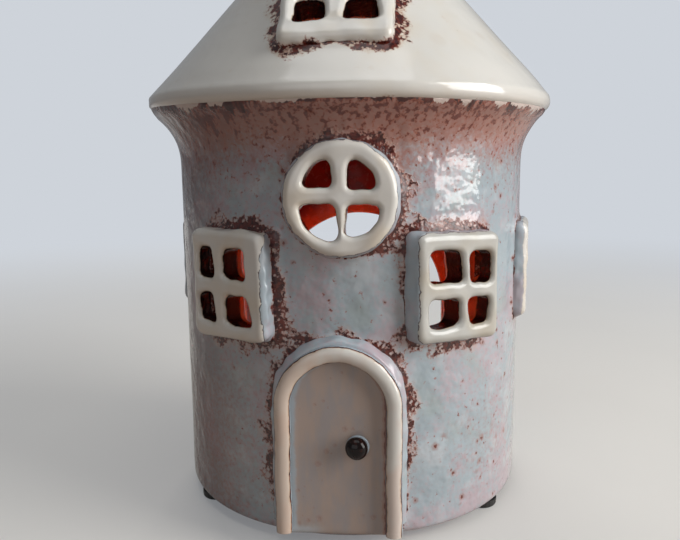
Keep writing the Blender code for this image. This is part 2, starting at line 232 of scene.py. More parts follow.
def paint(name):
    # A colour in linear light
    linear = []
    for part in colours[name]:
        share = part / 255
        linear.append(share / 12.92 if share <= 0.04045 else ((share + 0.055) / 1.055) ** 2.4)
    return (*linear, 1.0)


def tint(share, under, over, blend="MIX"):
    # Lays one colour over another; each is a colour's name or a wire
    under, over = (paint(given) if isinstance(given, str) else given for given in (under, over))
    given = {0: share, 6: under, 7: over}
    tree = treeOf((share, under, over))
    return addNode(tree, "ShaderNodeMix", given, data_type="RGBA", blend_type=blend)[2]


def coats(colour, *steps):
    # Lays colours over the first one, each by its share
    for share, over in steps:
        colour = tint(share, colour, over)
    return colour


def newMaterial(name, roughness=0.16, metallic=0.0, coat=0.0):
    made = bpy.data.materials.new(name)
    made.use_nodes = True
    shader = made.node_tree.nodes["Principled BSDF"]
    shader.inputs["Roughness"].default_value = roughness
    shader.inputs["Metallic"].default_value = metallic
    shader.inputs["Coat Weight"].default_value = coat
    return made, made.node_tree, shader


def finish(shader, sockets, height):
    # Feeds a shader's sockets, and its bump from a height in millimetres
    for label, value in sockets.items():
        feed(shader.inputs[label], value)
    if height is None:
        return
    bump = addNode(height.tree, "ShaderNodeBump", {"Strength": 1.0, "Distance": 0.001, "Height": height})
    feed(shader.inputs["Normal"], bump["Normal"])


def skinHeight(spot, swell, ripple):
    return useGroup(glazeSkin, spot, Swell=swell, Ripple=ripple)["Height"]


def wallBase(spot, blushAndShade):
    # The grey-blue glaze that the wall, the edges of the slabs and the band round the door share
    mottle = grain(spot, 0.75, 4.0, 0.62) - 0.5
    drift = grain(spot, 0.055, 3.0, 0.55)
    return coats(
        "mist",
        (ramp(mottle * 0.55 + drift, 0.40, 0.66), "lilac"),
        (ramp(grain(spot, 0.13, 2.0), 0.50, 0.72, 0.0, 0.75), "pale"),
        (ramp(grain(spot, 0.085, 2.0), 0.55, 0.75, 0.0, 0.5), "sage"),
        # The rose blush; on the wall it also holds painted shade on the left side
        (ramp(mottle * 0.9 + blushAndShade, 0.10, 0.85, 0.0, 0.92), "rose"))


def slipColour(spot):
    return coats(
        "slip",
        (ramp(grain(spot, 0.8, 3.0), 0.40, 0.66), "slipWarm"),
        # A purple-grey painted sheen in places
        (ramp(grain(spot, 0.31, 3.0), 0.58, 0.72, 0.0, 0.22), "sheen"))


def makeWallGlaze():
    made, tree, shader = newMaterial("wallGlaze", coat=0.25)
    spot, drawn = millimetres(tree), swept(tree, 0.5)
    freckle, brownAndShade, drip = (layer(tree, name) for name in ("freckle", "brownAndShade", "drip"))
    edges = useGroup(brokenGlaze, spot, Reach=layer(tree, "reach"), Cell=1.5, Ragged=1.1)
    eaves = useGroup(brokenGlaze, drawn, Reach=layer(tree, "eaveReach"), Cell=1.5, Ragged=1.9)
    large = useGroup(ironSpecks, spot, Spacing=2.8, Amount=freckle)
    small = useGroup(ironSpecks, spot, Spacing=0.9, Amount=freckle * 0.6)
    # Speckles under the eaves: round, but drawn down the flare where the left side is painted darker and
    # browner (brown glaze and painted shade)
    leaning = ramp(brownAndShade, 0.10, 0.45)
    given = {0: leaning, 2: grain(spot, 0.62, 3.0, 0.58), 3: grain(drawn, 0.52, 3.0, 0.58)}
    streakAndShade = layer(tree, "streakAndShade") * 0.22 + addNode(tree, "ShaderNodeMix", given, data_type="FLOAT")[0]
    ember = calc("MAXIMUM", edges["Ember"], eaves["Ember"])
    burnt = tint(ramp(grain(drawn, 0.7, 3.0), 0.46, 0.70), "slip", "slipWarm")
    # Islands of pale glaze left standing in the brown
    islands = useGroup(ironSpecks, spot, Spacing=3.4, Amount=0.9)["Core"] * edges["Dark"]
    run = (grain(swept(tree, 0.3), 0.8, 3.0) - 0.5) * 1.6 + drip
    run = ramp(run, 0.30, 0.44) * ramp(drip, 0.0, 0.08)
    colour = coats(
        # Blush layer: rose blush near the eaves and openings, and painted shade on the left
        wallBase(spot, layer(tree, "blushAndShade")),
        # Brown over the left side: the eaves' own brown glaze and painted shade
        (brownAndShade * 0.88, "slipWarm"),
        (large["Bloom"] * 0.6, "rose"),
        (small["Core"] * 0.5, "rust"),
        (large["Core"] * 0.92, "slipWarm"),
        # Rust streaks under the eaves, thicker on the left as painted shade
        (ramp(streakAndShade, 0.63, 0.73, 0.0, 0.65), "rust"),
        (ramp(streakAndShade, 0.71, 0.77), "slipWarm"),
        (edges["Veil"] * 0.55, "lace"),
        (ember * 0.72, "rust"),
        (edges["Dark"], slipColour(spot)),
        (eaves["Dark"], burnt),
        (islands * 0.85, "lace"),
        (run, "runs"))
    dark = calc("MAXIMUM", edges["Dark"] - islands, eaves["Dark"]) * (1.0 - run)
    rough = grain(spot, 1.3, 3.0) * calc("MAXIMUM", dark, ember)
    height = skinHeight(spot, 0.80, 0.28) + dark * -0.12 + rough * 0.16 + islands * 0.16
    height = height + large["Core"] * -0.04
    roughness = eaves["Dark"] * 0.12 + ramp(dark, 0.0, 1.0, 0.13, 0.18)
    coat = ramp(calc("MAXIMUM", dark, leaning), 0.0, 1.0, 0.25, 0.0)
    finish(shader, {"Base Color": colour, "Roughness": roughness, "Coat Weight": coat}, height)
    return made


def makeInsideGlaze():
    made, tree, shader = newMaterial("insideGlaze", coat=0.2)
    spot = millimetres(tree)
    colour = coats(
        "ember",
        (ramp(grain(spot, 0.09, 3.0), 0.40, 0.72, 0.0, 0.55), "emberDeep"),
        # Darker wine red on the inner wall above and beside the arch, away from its lit rim: painted shade
        (layer(tree, "innerShade"), "wine"))
    roughness = ramp(grain(spot, 0.4), 0.3, 0.7, 0.16, 0.30)
    finish(shader, {"Base Color": colour, "Roughness": roughness}, skinHeight(spot, 0.12, 0.03))
    return made


def makeRoofGlaze():
    made, tree, shader = newMaterial("roofGlaze", roughness=0.15, coat=0.3)
    spot = millimetres(tree)
    edges = useGroup(brokenGlaze, spot, Reach=layer(tree, "reach"), Cell=1.7, Ragged=0.9)
    stain = grain(spot, 0.045, 3.0)
    smudge = ramp(grain(spot, 0.16, 4.0, 0.7), 0.62, 0.78) * ramp(stain, 0.52, 0.60)
    specks = useGroup(ironSpecks, spot, Spacing=7.0, Amount=0.30)
    holes = useGroup(ironSpecks, spot, Spacing=3.4, Amount=0.07)
    colour = coats(
        "cream",
        (ramp(stain, 0.50, 0.78, 0.0, 0.55), "creamWarm"),
        (smudge * 0.35, "tan"),
        (specks["Bloom"] * 0.10, "tan"),
        (holes["Core"] * 0.8, "slipWarm"),
        (edges["Veil"] * 0.45, "tan"),
        (edges["Ember"] * 0.60, "rust"),
        (edges["Dark"], slipColour(spot)),
        (layer(tree, "inside"), "emberDeep"))
    height = skinHeight(spot, 0.22, 0.02) + edges["Dark"] * -0.10 + holes["Core"] * -0.12
    finish(shader, {"Base Color": colour, "Coat Weight": ramp(edges["Dark"], 0.0, 1.0, 0.3, 0.0)}, height)
    return made


# Slab windows: cream face, a thin brown line where it turns to the grey-blue side, dark panes
def makeWindowGlaze():
    made, tree, shader = newMaterial("windowGlaze", coat=0.15)
    spot = millimetres(tree)
    soft, fine = grain(spot, 0.35, 2.0) - 0.5, grain(spot, 1.2, 2.0) - 0.5
    holes = useGroup(ironSpecks, spot, Spacing=4.0, Amount=0.06)
    lap = soft * 2.2 + layer(tree, "lap") + fine * 0.5
    foot = layer(tree, "foot")
    lace = useGroup(brokenGlaze, spot, Reach=ramp(foot, 1.6, 0.0), Cell=1.3, Ragged=1.6)
    band = tint(0.35, wallBase(spot, 0.0), "sky")
    skirt = lace["Veil"] * ramp(foot, 1.8, 0.6)
    line = ramp(lap, -0.16, -0.02) * ramp(lap, 0.24, 0.08) * ramp(soft + fine, -0.22, -0.10)
    line = line * layer(tree, "lined")
    pane = soft + layer(tree, "pane") + fine * 0.35
    dark = ramp(pane, 0.68, 0.92)
    reveal = tint(ramp(grain(spot, 0.9, 2.0), 0.5, 0.7, 0.0, 0.5), "reveal", "slip")
    colour = tint(ramp(grain(spot, 0.07, 2.0), 0.42, 0.70, 0.0, 0.8), "cream", "creamWarm")
    # The face of the window nearest the window lamp is greyed: painted shade
    colour = tint(layer(tree, "rightWindowShade") * 0.9, colour, "shadow", "MULTIPLY")
    colour = coats(
        colour,
        (holes["Core"] * 0.7, "slipWarm"),
        (ramp(lap, -0.08, 0.10), band),
        (skirt * 0.5, "lace"),
        (lace["Ember"] * 0.6, "rust"),
        (lace["Dark"], slipColour(spot)),
        (line * 0.88, "slip"),
        (ramp(pane, 0.45, 0.80, 0.0, 0.75), "tan"),
        (dark, reveal),
        (layer(tree, "inside"), "ember"))
    height = skinHeight(spot, 0.22, 0.05) + grain(spot, 0.9, 2.0) * dark * 0.25 + line * -0.06
    finish(shader, {"Base Color": colour, "Roughness": ramp(dark, 0.0, 1.0, 0.17, 0.20)}, height)
    return made


# Door: taupe inside its coil, pale glaze pooled along the coil at the left, grey-blue outside the coil
def makeDoorGlaze():
    made, tree, shader = newMaterial("doorGlaze", roughness=0.2, coat=0.2)
    spot, drawn = millimetres(tree), millimetres(tree, (1.0, 1.0, 0.3))
    axes = axesOf(spot)
    coil = layer(tree, "coil")
    wave = grain(spot, 0.3, 2.0) - 0.5
    specks = useGroup(ironSpecks, spot, Spacing=2.6, Amount=0.22)
    left = ramp(axes["X"], 2.0, -4.0)
    right = 1.0 - left
    inward = wave * 1.6 + coil
    low = ramp(wave * 4.0 + axes["Z"], 9.0, 6.5) * ramp(axes["X"], -2.0, -10.0)
    lace = useGroup(brokenGlaze, spot, Reach=ramp(layer(tree, "foot"), 1.3, 0.0), Cell=1.5, Ragged=0.9)
    colour = coats(
        "taupe",
        (ramp(grain(drawn, 0.22, 4.0, 0.6), 0.38, 0.66), "taupeCool"),
        (specks["Bloom"] * 0.28, "rose"),
        (ramp(inward, -3.9, -2.9) * left * 0.85, "sky"),
        (ramp(inward, -3.6, -2.8) * right * 0.45, "rust"),
        (ramp(inward, -2.75, -2.5) * right * 0.8, "slipWarm"),
        (low * 0.8, "pale"),
        (ramp(coil, 0.0, 1.0), wallBase(spot, 0.05)),
        (lace["Dark"] * ramp(coil, 1.0, 1.6), slipColour(spot)))
    finish(shader, {"Base Color": colour}, skinHeight(spot, 0.20, 0.03) + specks["Core"] * -0.05)
    return made


def makeCoilGlaze():
    made, tree, shader = newMaterial("coilGlaze", coat=0.3)
    spot = millimetres(tree)
    soft = grain(spot, 0.3, 2.0) - 0.5
    holes = useGroup(ironSpecks, spot, Spacing=3.6, Amount=0.10)
    lift = soft * 1.1 + layer(tree, "lift")
    colour = coats(
        "cream",
        (ramp(grain(spot, 0.09, 2.0), 0.40, 0.62), "coilCream"),
        # Warmer and darker towards the left: tan glaze and painted shade
        (ramp(soft * 16.0 + axesOf(spot)["X"], 4.0, -14.0, 0.0, 0.55), "coilTanAndShade"),
        (holes["Core"] * 0.8, "slip"),
        (ramp(lift, 1.9, 1.3, 0.0, 0.5), "tan"),
        (ramp(lift, 1.45, 1.25), slipColour(spot)),
        (ramp(lift, 1.0, 0.85), "mist"))
    finish(shader, {"Base Color": colour}, skinHeight(spot, 0.12, 0.02) + holes["Core"] * -0.10)
    return made


def makeKnobGlaze():
    made, tree, shader = newMaterial("knobGlaze", roughness=0.07)
    shader.inputs["Specular IOR Level"].default_value = 0.22
    spot = millimetres(tree)
    ring = (grain(spot, 0.5) - 0.5) * 0.8 + layer(tree, "lift")
    colour = coats(
        "knob",
        (ramp(grain(spot, 0.7, 3.0), 0.45, 0.75), "knobWarm"),
        (ramp(ring, 0.55, 0.35), "sky"))
    finish(shader, {"Base Color": colour}, skinHeight(spot, 0.08, 0.03))
    return made


def makeFootRubber():
    made, tree, shader = newMaterial("footRubber", roughness=0.55)
    spot = millimetres(tree)
    dust = ramp(grain(spot, 1.2, 4.0, 0.7), 0.45, 0.75)
    roughness = ramp(dust, 0.0, 1.0, 0.45, 0.75)
    colour = tint(dust, "rubber", "dust")
    finish(shader, {"Base Color": colour, "Roughness": roughness}, grain(spot, 3.0, 2.0) * 0.03)
    return made


# The tealight's finishes: one grain between two colours, with the stretch and scale of the grain, the
# roughness at its two ends, and the scale and the height in millimetres of a bump
tealightFinishes = {
    "cupMetal": {"roughness": 0.28, "metallic": 1.0, "stretch": (1.0, 1.0, 0.12), "grain": 1.6,
                 "colours": ("cupDull", "cupBright"), "ends": (0.22, 0.38), "bump": (0.6, 0.05)},
    "candleWax": {"roughness": 0.42, "metallic": 0.0, "stretch": (1.0, 1.0, 1.0), "grain": 0.25,
                  "colours": ("wax", "waxPale"), "ends": (0.34, 0.5), "bump": (0.35, 0.12)},
    "holderMetal": {"roughness": 0.36, "metallic": 1.0, "stretch": (1.0, 1.0, 1.0), "grain": 1.5,
                    "colours": ("holder", "holderPale"), "ends": (0.28, 0.5), "bump": None},
    "wickCotton": {"roughness": 0.85, "metallic": 0.0, "stretch": (3.0, 3.0, 1.0), "grain": 4.0,
                   "colours": ("cotton", "cottonPale"), "ends": None, "bump": (8.0, 0.05)},
}


def makeTealightFinish(name):
    spec = tealightFinishes[name]
    made, tree, shader = newMaterial(name, spec["roughness"], spec["metallic"])
    share = grain(millimetres(tree, spec["stretch"]), spec["grain"], 3.0)
    sockets = {"Base Color": tint(share, *spec["colours"])}
    if spec["ends"]:
        sockets["Roughness"] = ramp(share, 0.3, 0.7, *spec["ends"])
    height = None
    if spec["bump"]:
        height = grain(millimetres(tree), spec["bump"][0], 2.0) * spec["bump"][1]
    finish(shader, sockets, height)
    return made


wallGlaze = makeWallGlaze()
insideGlaze = makeInsideGlaze()
roofGlaze = makeRoofGlaze()
windowGlaze = makeWindowGlaze()
doorGlaze = makeDoorGlaze()
coilGlaze = makeCoilGlaze()
knobGlaze = makeKnobGlaze()
footRubber = makeFootRubber()
cupMetal, candleWax, holderMetal, wickCotton = (makeTealightFinish(name) for name in tealightFinishes)
print("materials built")


# Shape helpers

def facing(azimuth, distance, height, lean=0.0):
    # A flat piece's own frame: +Z out from the house, +Y up the wall or slope, azimuth 0 at the door
    turn = math.radians(azimuth)
    spot = Matrix.Translation((distance * math.sin(turn), -distance * math.cos(turn), height))
    return spot @ Matrix.Rotation(turn, 4, "Z") @ Matrix.Rotation(math.radians(90.0 - lean), 4, "X")


def moved(points, matrix):
    solid = np.array(matrix)
    return points @ solid[:3, :3].T + solid[:3, 3]


def handWave(turn, height, seed):
    # A slow unevenness that closes on itself round the pot, from -1 to 1; turn in radians, height in metres
    total = 0.0
    for k, (lobes, rate) in enumerate(((2, 19.0), (3, -41.0), (5, 66.0), (8, -115.0), (13, 170.0))):
        total = total + np.sin(lobes * turn + rate * height + seed * (1.7 + k)) / (1.4 + 0.7 * k)
    return total / 2.4


def lumps(points, size, seed):
    # A soft uneven field over points in metres, from about -1 to 1, with lumps of the given size
    chance = np.random.default_rng(seed)
    total = 0.0
    for _ in range(10):
        way = chance.normal(size=3)
        rate = math.tau / size * chance.uniform(0.6, 1.3)
        total = total + np.sin(points @ (way / np.linalg.norm(way)) * rate + chance.uniform(0.0, math.tau))
    return total / 3.6


def easeBetween(values, low, high):
    share = np.clip((values - low) / (high - low), 0.0, 1.0)
    return share * share * (3 - 2 * share)


def polar(radius, turn, height):
    # Points at a radius from the axis, an angle in radians from +X and a height
    return np.stack(np.broadcast_arrays(radius * np.cos(turn), radius * np.sin(turn), height), -1)


def turnOf(points):
    return np.arctan2(points[..., 1], points[..., 0])


def radiusOf(points):
    return np.hypot(points[..., 0], points[..., 1])


def arcPoints(radius, angles, lift=0.0):
    # Flat points round (0, lift), at angles in degrees
    turns = [math.radians(angle) for angle in angles]
    return [(radius * math.cos(turn), lift + radius * math.sin(turn)) for turn in turns]


def boxGap(x, y, halfWidth, low, high, corner):
    across = np.abs(x) - halfWidth + corner
    along = np.abs(y - (low + high) / 2) - (high - low) / 2 + corner
    outside = np.hypot(np.maximum(across, 0.0), np.maximum(along, 0.0))
    return outside + np.minimum(np.maximum(across, along), 0.0) - corner


def archGap(x, y, half, low, high):
    crown = np.hypot(x, y - (high - half)) - half
    across = np.abs(x) - half
    under = low - y
    below = np.where((across > 0) & (under > 0), np.hypot(across, under), np.maximum(across, under))
    return np.where(y > high - half, crown, below)


def setLayer(mesh, name, values):
    mesh.attributes.new(name, "FLOAT", "POINT").data.foreach_set("value", np.asarray(values, np.float32))


def pointsOf(mesh):
    flat = np.empty(len(mesh.vertices) * 3, np.float32)
    mesh.vertices.foreach_get("co", flat)
    return flat.reshape(-1, 3).astype(float)


def setPoints(mesh, points):
    mesh.vertices.foreach_set("co", points.astype(np.float32).ravel())
    mesh.update()


def addObject(name, data):
    made = bpy.data.objects.new(name, data)
    bpy.context.scene.collection.objects.link(made)
    return made


def newPiece(name, mesh, *materials):
    made = addObject(name, mesh)
    mesh.materials.clear()
    for material in materials:
        mesh.materials.append(material)
    mesh.polygons.foreach_set("use_smooth", np.ones(len(mesh.polygons), bool))
    return made


def weldMesh(mesh, distance):
    weld = bmesh.new()
    weld.from_mesh(mesh)
    bmesh.ops.remove_doubles(weld, verts=weld.verts, dist=distance)
    weld.to_mesh(mesh)
    weld.free()


def settled(piece):
    # The piece as a plain mesh with its modifiers worked in
    bpy.context.view_layer.update()
    graph = bpy.context.evaluated_depsgraph_get()
    mesh = bpy.data.meshes.new_from_object(piece.evaluated_get(graph), depsgraph=graph)
    name = piece.name
    bpy.data.objects.remove(piece)
    mesh.name = name
    return mesh


probe = 0.00005  # Metres, for slopes taken by difference
lipBends = [math.radians(angle) for angle in (22.5, 45.0, 67.5, 90.0)]


# Two skins of a turned shell, with holes that are trimmed to their outlines and given rounded lips.
# Columns are angles round the axis and rows run up the shell; gapAt is below 0 inside a hole.
def makeShell(columns, rows, outerAt, innerAt, gapAt, lipAt, ends):
    # Faces whose middle is clear of the holes are kept; points that touch both kinds are a hole's lip
    turn, along = np.meshgrid(columns, rows)
    gap = gapAt(outerAt(turn, along))
    middle = (gap[:-1] + gap[1:] + np.roll(gap[:-1], -1, 1) + np.roll(gap[1:], -1, 1)) / 4
    kept = middle > 0.0
    used = np.zeros(gap.shape, bool)
    lost = np.zeros(gap.shape, bool)
    for mark, faces in ((used, kept), (lost, ~kept)):
        for shift in (0, 1):
            wrapped = np.roll(faces, shift, 1)
            mark[:-1] |= wrapped
            mark[1:] |= wrapped
    lip = used & lost
    # The lip slides along the skin on to the hole's outline
    at, up = turn[lip], along[lip]
    for _ in range(4):
        here = outerAt(at, up)
        radius = radiusOf(here)
        now = gapAt(here)
        across = (gapAt(outerAt(at + probe / radius, up)) - now) / probe
        climb = (gapAt(outerAt(at, up + probe)) - now) / probe
        steep = np.maximum(across ** 2 + climb ** 2, 0.2)
        at = at - now * across / steep / radius
        up = up - now * climb / steep
    turn[lip], along[lip] = at, up
    # Both skins, and the edges that only one face has
    number = np.full(gap.shape, -1)
    number[used] = np.arange(used.sum())
    outer = outerAt(turn, along)[used]
    inner = innerAt(turn, along)[used]
    total = len(outer)
    right = np.roll(number, -1, 1)
    quads = np.stack([number[:-1], right[:-1], right[1:], number[1:]], -1)[kept]
    level = np.broadcast_to(np.arange(len(rows))[:, None], gap.shape)[used]
    edges = np.concatenate([quads[:, [k, (k + 1) % 4]] for k in range(4)])
    back = set((edges[:, 1] * total + edges[:, 0]).tolist())
    loose = edges[[key not in back for key in (edges[:, 0] * total + edges[:, 1]).tolist()]]
    # Rows of points close the shell at its holes, its foot and its top
    points = [outer, inner]
    faces = quads.tolist() + (quads[:, ::-1] + total).tolist()
    made = 2 * total
    last = len(rows) - 1
    for kind, rowsAt in (("lip", lipAt), (0, ends[0]), (last, ends[1])):
        onEnd = (level[loose[:, 0]] == level[loose[:, 1]]) & np.isin(level[loose[:, 0]], (0, last))
        if kind == "lip":
            chosen = loose[~onEnd]
        else:
            chosen = loose[onEnd & (level[loose[:, 0]] == kind)]
        if not len(chosen):
            continue
        corners = np.unique(chosen)
        steps = [dict(zip(corners.tolist(), corners.tolist()))]
        for row in rowsAt(outer[corners], inner[corners]):
            points.append(row)
            steps.append(dict(zip(corners.tolist(), range(made, made + len(row)))))
            made += len(row)
        steps.append(dict(zip(corners.tolist(), (corners + total).tolist())))
        for a, b in chosen.tolist():
            for first, second in zip(steps, steps[1:]):
                faces.append((first[b], first[a], second[a], second[b]))
    mesh = bpy.data.meshes.new("shell")
    mesh.from_pydata(np.concatenate(points).tolist(), [], faces)
    inside = np.zeros(made)
    inside[total:2 * total] = 1.0
    return mesh, inside, total


def lipRows(gapAt, outer, inner, roll):
    # Rounded lips between two skins: points that swing out over the hole from one skin to the other
    grade = np.stack([gapAt(outer + probe * axis) - gapAt(outer - probe * axis) for axis in np.eye(3)], -1)
    depth = inner - outer
    length = np.linalg.norm(depth, axis=-1, keepdims=True)
    depth = depth / length
    grade = grade - (grade * depth).sum(-1, keepdims=True) * depth
    over = -grade / np.maximum(np.linalg.norm(grade, axis=-1, keepdims=True), 1e-9)
    roll = np.broadcast_to(roll, len(outer))[:, None]
    swings = [(depth * roll * (1 - math.cos(bend)), over * roll * math.sin(bend)) for bend in lipBends]
    middle = outer + depth * length / 2 + over * roll * 1.06
    return ([outer + sunk + swung for sunk, swung in swings] + [middle]
            + [inner - sunk + swung for sunk, swung in reversed(swings)])


# The house's sizes, as the CAD model has them
house = {
    "foot": 0.0028, "radius": 0.0575, "thickness": 0.005, "straight": 0.1055, "flareHeight": 0.0168,
    "flareReach": 0.0075, "flarePower": 2.8, "baseRound": 0.002, "floorTop": 0.0088,
    "arch": {"half": 0.0348, "high": 0.0803, "roll": 0.0013},
    "eaveFoot": 0.1254, "roll": 0.00305, "overhang": 0.0018, "pitch": 48.0, "roofThickness": 0.005,
    "roofTopRadius": 0.010, "ventRadius": 0.0055, "seatRadius": 0.060,
}
wallTop = house["foot"] + house["straight"] + house["flareHeight"]
slope = math.radians(house["pitch"])
rollCentre = (house["radius"] + house["flareReach"] + house["overhang"] - house["roll"],
              house["eaveFoot"] + house["roll"])
slopeOut = (math.sin(slope), math.cos(slope))
eave = (rollCentre[0] + house["roll"] * slopeOut[0], rollCentre[1] + house["roll"] * slopeOut[1])
slopeLength = (eave[0] - house["roofTopRadius"]) / math.cos(slope)


def wallRadiusAt(height):
    rise = np.maximum(0.0, height - house["foot"] - house["straight"]) / house["flareHeight"]
    return house["radius"] + house["flareReach"] * rise ** house["flarePower"]


# Slab windows: corners of each pane in millimetres on the slab, x to the right and y up
paneCorners = {
    "frontLeft": (((-12.0, 1.7), (-6.0, 1.5), (-6.8, 10.6), (-12.2, 10.4)),
                  ((-2.3, 1.9), (5.6, 1.5), (5.3, 10.6), (-2.5, 10.2)),
                  ((-12.1, -10.8), (-5.8, -11.6), (-6.9, -2.8), (-12.4, -2.8)),
                  ((-1.9, -11.3), (8.2, -11.6), (6.2, -2.9), (-1.9, -3.0))),
    "frontRight": (((-9.6, 1.1), (1.9, 0.9), (0.5, 9.8), (-9.7, 10.1)),
                   ((4.3, 0.2), (11.5, 0.3), (11.7, 8.8), (3.9, 9.4)),
                   ((-9.5, -11.8), (0.8, -11.2), (0.6, -3.9), (-9.7, -3.5)),
                   ((4.1, -11.4), (10.5, -11.7), (11.1, -3.9), (3.5, -4.0))),
    "sideLeft": (((-10.2, 2.0), (-1.9, 2.4), (-1.6, 10.9), (-10.4, 11.2)),
                 ((1.7, 2.1), (10.2, 1.8), (10.0, 11.0), (1.8, 10.6)),
                 ((-10.5, -11.2), (-1.7, -10.9), (-1.9, -2.2), (-10.2, -2.0)),
                 ((1.6, -11.0), (10.4, -11.4), (10.3, -2.3), (1.9, -2.0))),
    "sideRight": (((-10.4, 1.9), (-1.6, 2.3), (-2.0, 11.1), (-10.0, 10.8)),
                  ((1.9, 2.2), (10.4, 2.2), (9.9, 10.6), (1.6, 11.0)),
                  ((-10.1, -11.0), (-1.9, -11.3), (-1.7, -2.0), (-10.4, -2.4)),
                  ((1.7, -11.3), (10.1, -10.8), (10.4, -2.0), (1.8, -2.2))),
    "round": (((-9.9, 3.9), (-9.7, 5.7), (-8.0, 8.3), (-5.7, 9.9), (-3.5, 10.0),
               (-2.6, 8.8), (-2.4, 3.8), (-3.1, 3.0), (-8.8, 3.0)),
              ((1.8, 3.0), (1.7, 6.2), (2.2, 9.3), (3.6, 10.1), (5.3, 9.6),
               (7.6, 7.7), (9.1, 5.0), (9.2, 3.3), (8.2, 2.3), (2.6, 2.6)),
              ((-11.3, -1.9), (-8.5, -1.4), (-2.4, -1.5), (-1.3, -2.6), (-0.7, -9.2),
               (-1.4, -10.9), (-3.6, -11.1), (-6.3, -10.1), (-8.6, -8.3), (-10.3, -5.2)),
              ((1.6, -2.2), (3.0, -1.6), (9.6, -1.8), (10.3, -2.8), (9.7, -5.4),
               (7.7, -8.2), (5.3, -9.6), (2.6, -10.1), (1.0, -9.0))),
    "roof": (((-11.5, 6.5), (-3.0, 7.1), (-3.4, 15.8), (-11.2, 16.1)),
             ((1.9, 7.2), (11.2, 6.9), (10.8, 16.0), (2.4, 15.9)),
             ((-11.0, 20.2), (-2.8, 20.0), (-3.0, 30.4), (-10.8, 30.2)),
             ((2.3, 20.1), (10.9, 20.3), (10.7, 30.3), (2.5, 30.5))),
}
# An outline's corners are in mm from its lower left, counter-clockwise. At the left, right, top and bottom
# the grey-blue glaze laps on to the face by "laps" mm and the slab's foot spreads by "spreads" mm. The brown
# line round the face is as strong as "lined", and brown lace climbs the sides by "climb" mm.
windows = {
    "frontLeft": {"node": "front_left_window", "azimuth": -30.5, "proud": 0.0045, "seed": 1,
                  "outline": ((-14.5, -16.1), (13.1, -15.7), (12.5, 15.4), (-14.9, 15.7)),
                  "laps": (-4.0, 1.1, -4.0, -1.4), "spreads": (0.3, -0.5, 0.1, 0.3),
                  "lined": 1.0, "climb": 1.7},
    "frontRight": {"node": "front_right_window", "azimuth": 33.0, "proud": 0.0045, "seed": 2,
                   "outline": ((-13.7, -15.6), (14.4, -16.6), (14.5, 14.3), (-14.0, 15.0)),
                   "laps": (0.5, -4.0, -0.6, -0.1), "spreads": (0.9, 0.2, 0.4, 0.6),
                   "lined": 1.0, "climb": 1.0},
    "sideLeft": {"node": "side_left_window", "azimuth": -103.0, "proud": 0.0030, "seed": 3,
                 "outline": ((-13.4, -15.3), (13.6, -15.2), (13.4, 15.2), (-13.6, 15.1)),
                 "laps": (0.2, 0.8, -0.5, 0.1), "spreads": (0.5, 0.6, 0.3, 0.6),
                 "lined": 0.7, "climb": 1.4},
    "sideRight": {"node": "side_right_window", "azimuth": 79.0, "proud": 0.0030, "seed": 4,
                  "outline": ((-13.5, -15.2), (13.5, -15.3), (13.6, 15.2), (-13.4, 15.2)),
                  "laps": (0.0, 0.4, -0.5, 0.1), "spreads": (0.5, 0.5, 0.3, 0.5),
                  "lined": 0.2, "climb": 1.0},
    "round": {"node": "round_window", "azimuth": 1.3, "proud": 0.0045, "seed": 5, "outline": (),
              "laps": (0.2, 0.0, -0.1, 0.0), "spreads": (0.3, 0.5, 0.2, 0.7),
              "lined": 1.0, "climb": 0.8},
    "roof": {"node": "roof_window", "azimuth": 0.0, "proud": 0.0030, "seed": 6,
             "outline": ((-15.5, 0.0), (15.3, 0.1), (15.4, 35.0), (-15.4, 35.0)),
             "laps": (-4.0, -4.0, -4.0, -4.0), "spreads": (0.4, 0.4, 0.3, 0.1),
             "lined": 0.0, "climb": 2.2},
}
# Sizes that the windows share, in metres: the CAD model's first, then those of the soft clay
windowSizes = {
    "width": 0.0270, "height": 0.0305, "centre": 0.0759, "corner": 0.0028,
    "roundRadius": 0.0156, "roundCentre": 0.1005,
    "roofWidth": 0.0308, "roofLength": 0.0350, "roofSetback": 0.0130,
    "bevel": 0.0011, "edge": 0.0022, "paneEdge": 0.0017, "paneCorner": 0.0021, "paneFall": 0.11,
    "voxel": 0.00034, "smoothing": 4, "inset": 0.0016, "innerEdge": 0.0014, "sag": 0.0024, "roofSag": 0.0028,
    "wander": 0.00010, "roundWander": 0.00012, "paneWander": 0.00009, "pool": 0.0004, "holeRoll": 0.0002,
}
door = {
    "width": 0.0364, "low": 0.0022, "high": 0.0592, "proud": 0.0028, "edge": 0.0011, "corner": 0.0016,
    "wander": 0.00008, "seed": 8.0, "voxel": 0.00040, "smoothing": 5,
    "coilRadius": 0.00235, "coilGap": 0.0003, "knobRadius": 0.0030, "knobHeight": 0.0042, "knobSeat": 0.0021,
    "knobOffset": 0.0052, "knobCentre": 0.0322,
}


def windowPlace(key):
    spec = windows[key]
    if key == "roof":
        back = windowSizes["roofSetback"]
        distance = eave[0] - back * math.cos(slope) + spec["proud"] * slopeOut[0]
        height = eave[1] + back * math.sin(slope) + spec["proud"] * slopeOut[1]
        return facing(spec["azimuth"], distance, height, 90.0 - house["pitch"])
    height = windowSizes["roundCentre" if key == "round" else "centre"]
    return facing(spec["azimuth"], house["radius"] + spec["proud"], height)


def windowGap(key, local, inset=0.0):
    # Distance outside a window's outline, made smaller all round by an inset
    x, y = local[..., 0], local[..., 1]
    if key == "round":
        return np.hypot(x, y) - windowSizes["roundRadius"] + inset
    if key == "roof":
        return boxGap(x, y, windowSizes["roofWidth"] / 2 - inset, inset, windowSizes["roofLength"] - inset,
                      windowSizes["corner"])
    half = windowSizes["height"] / 2 - inset
    return boxGap(x, y, windowSizes["width"] / 2 - inset, -half, half, windowSizes["corner"])


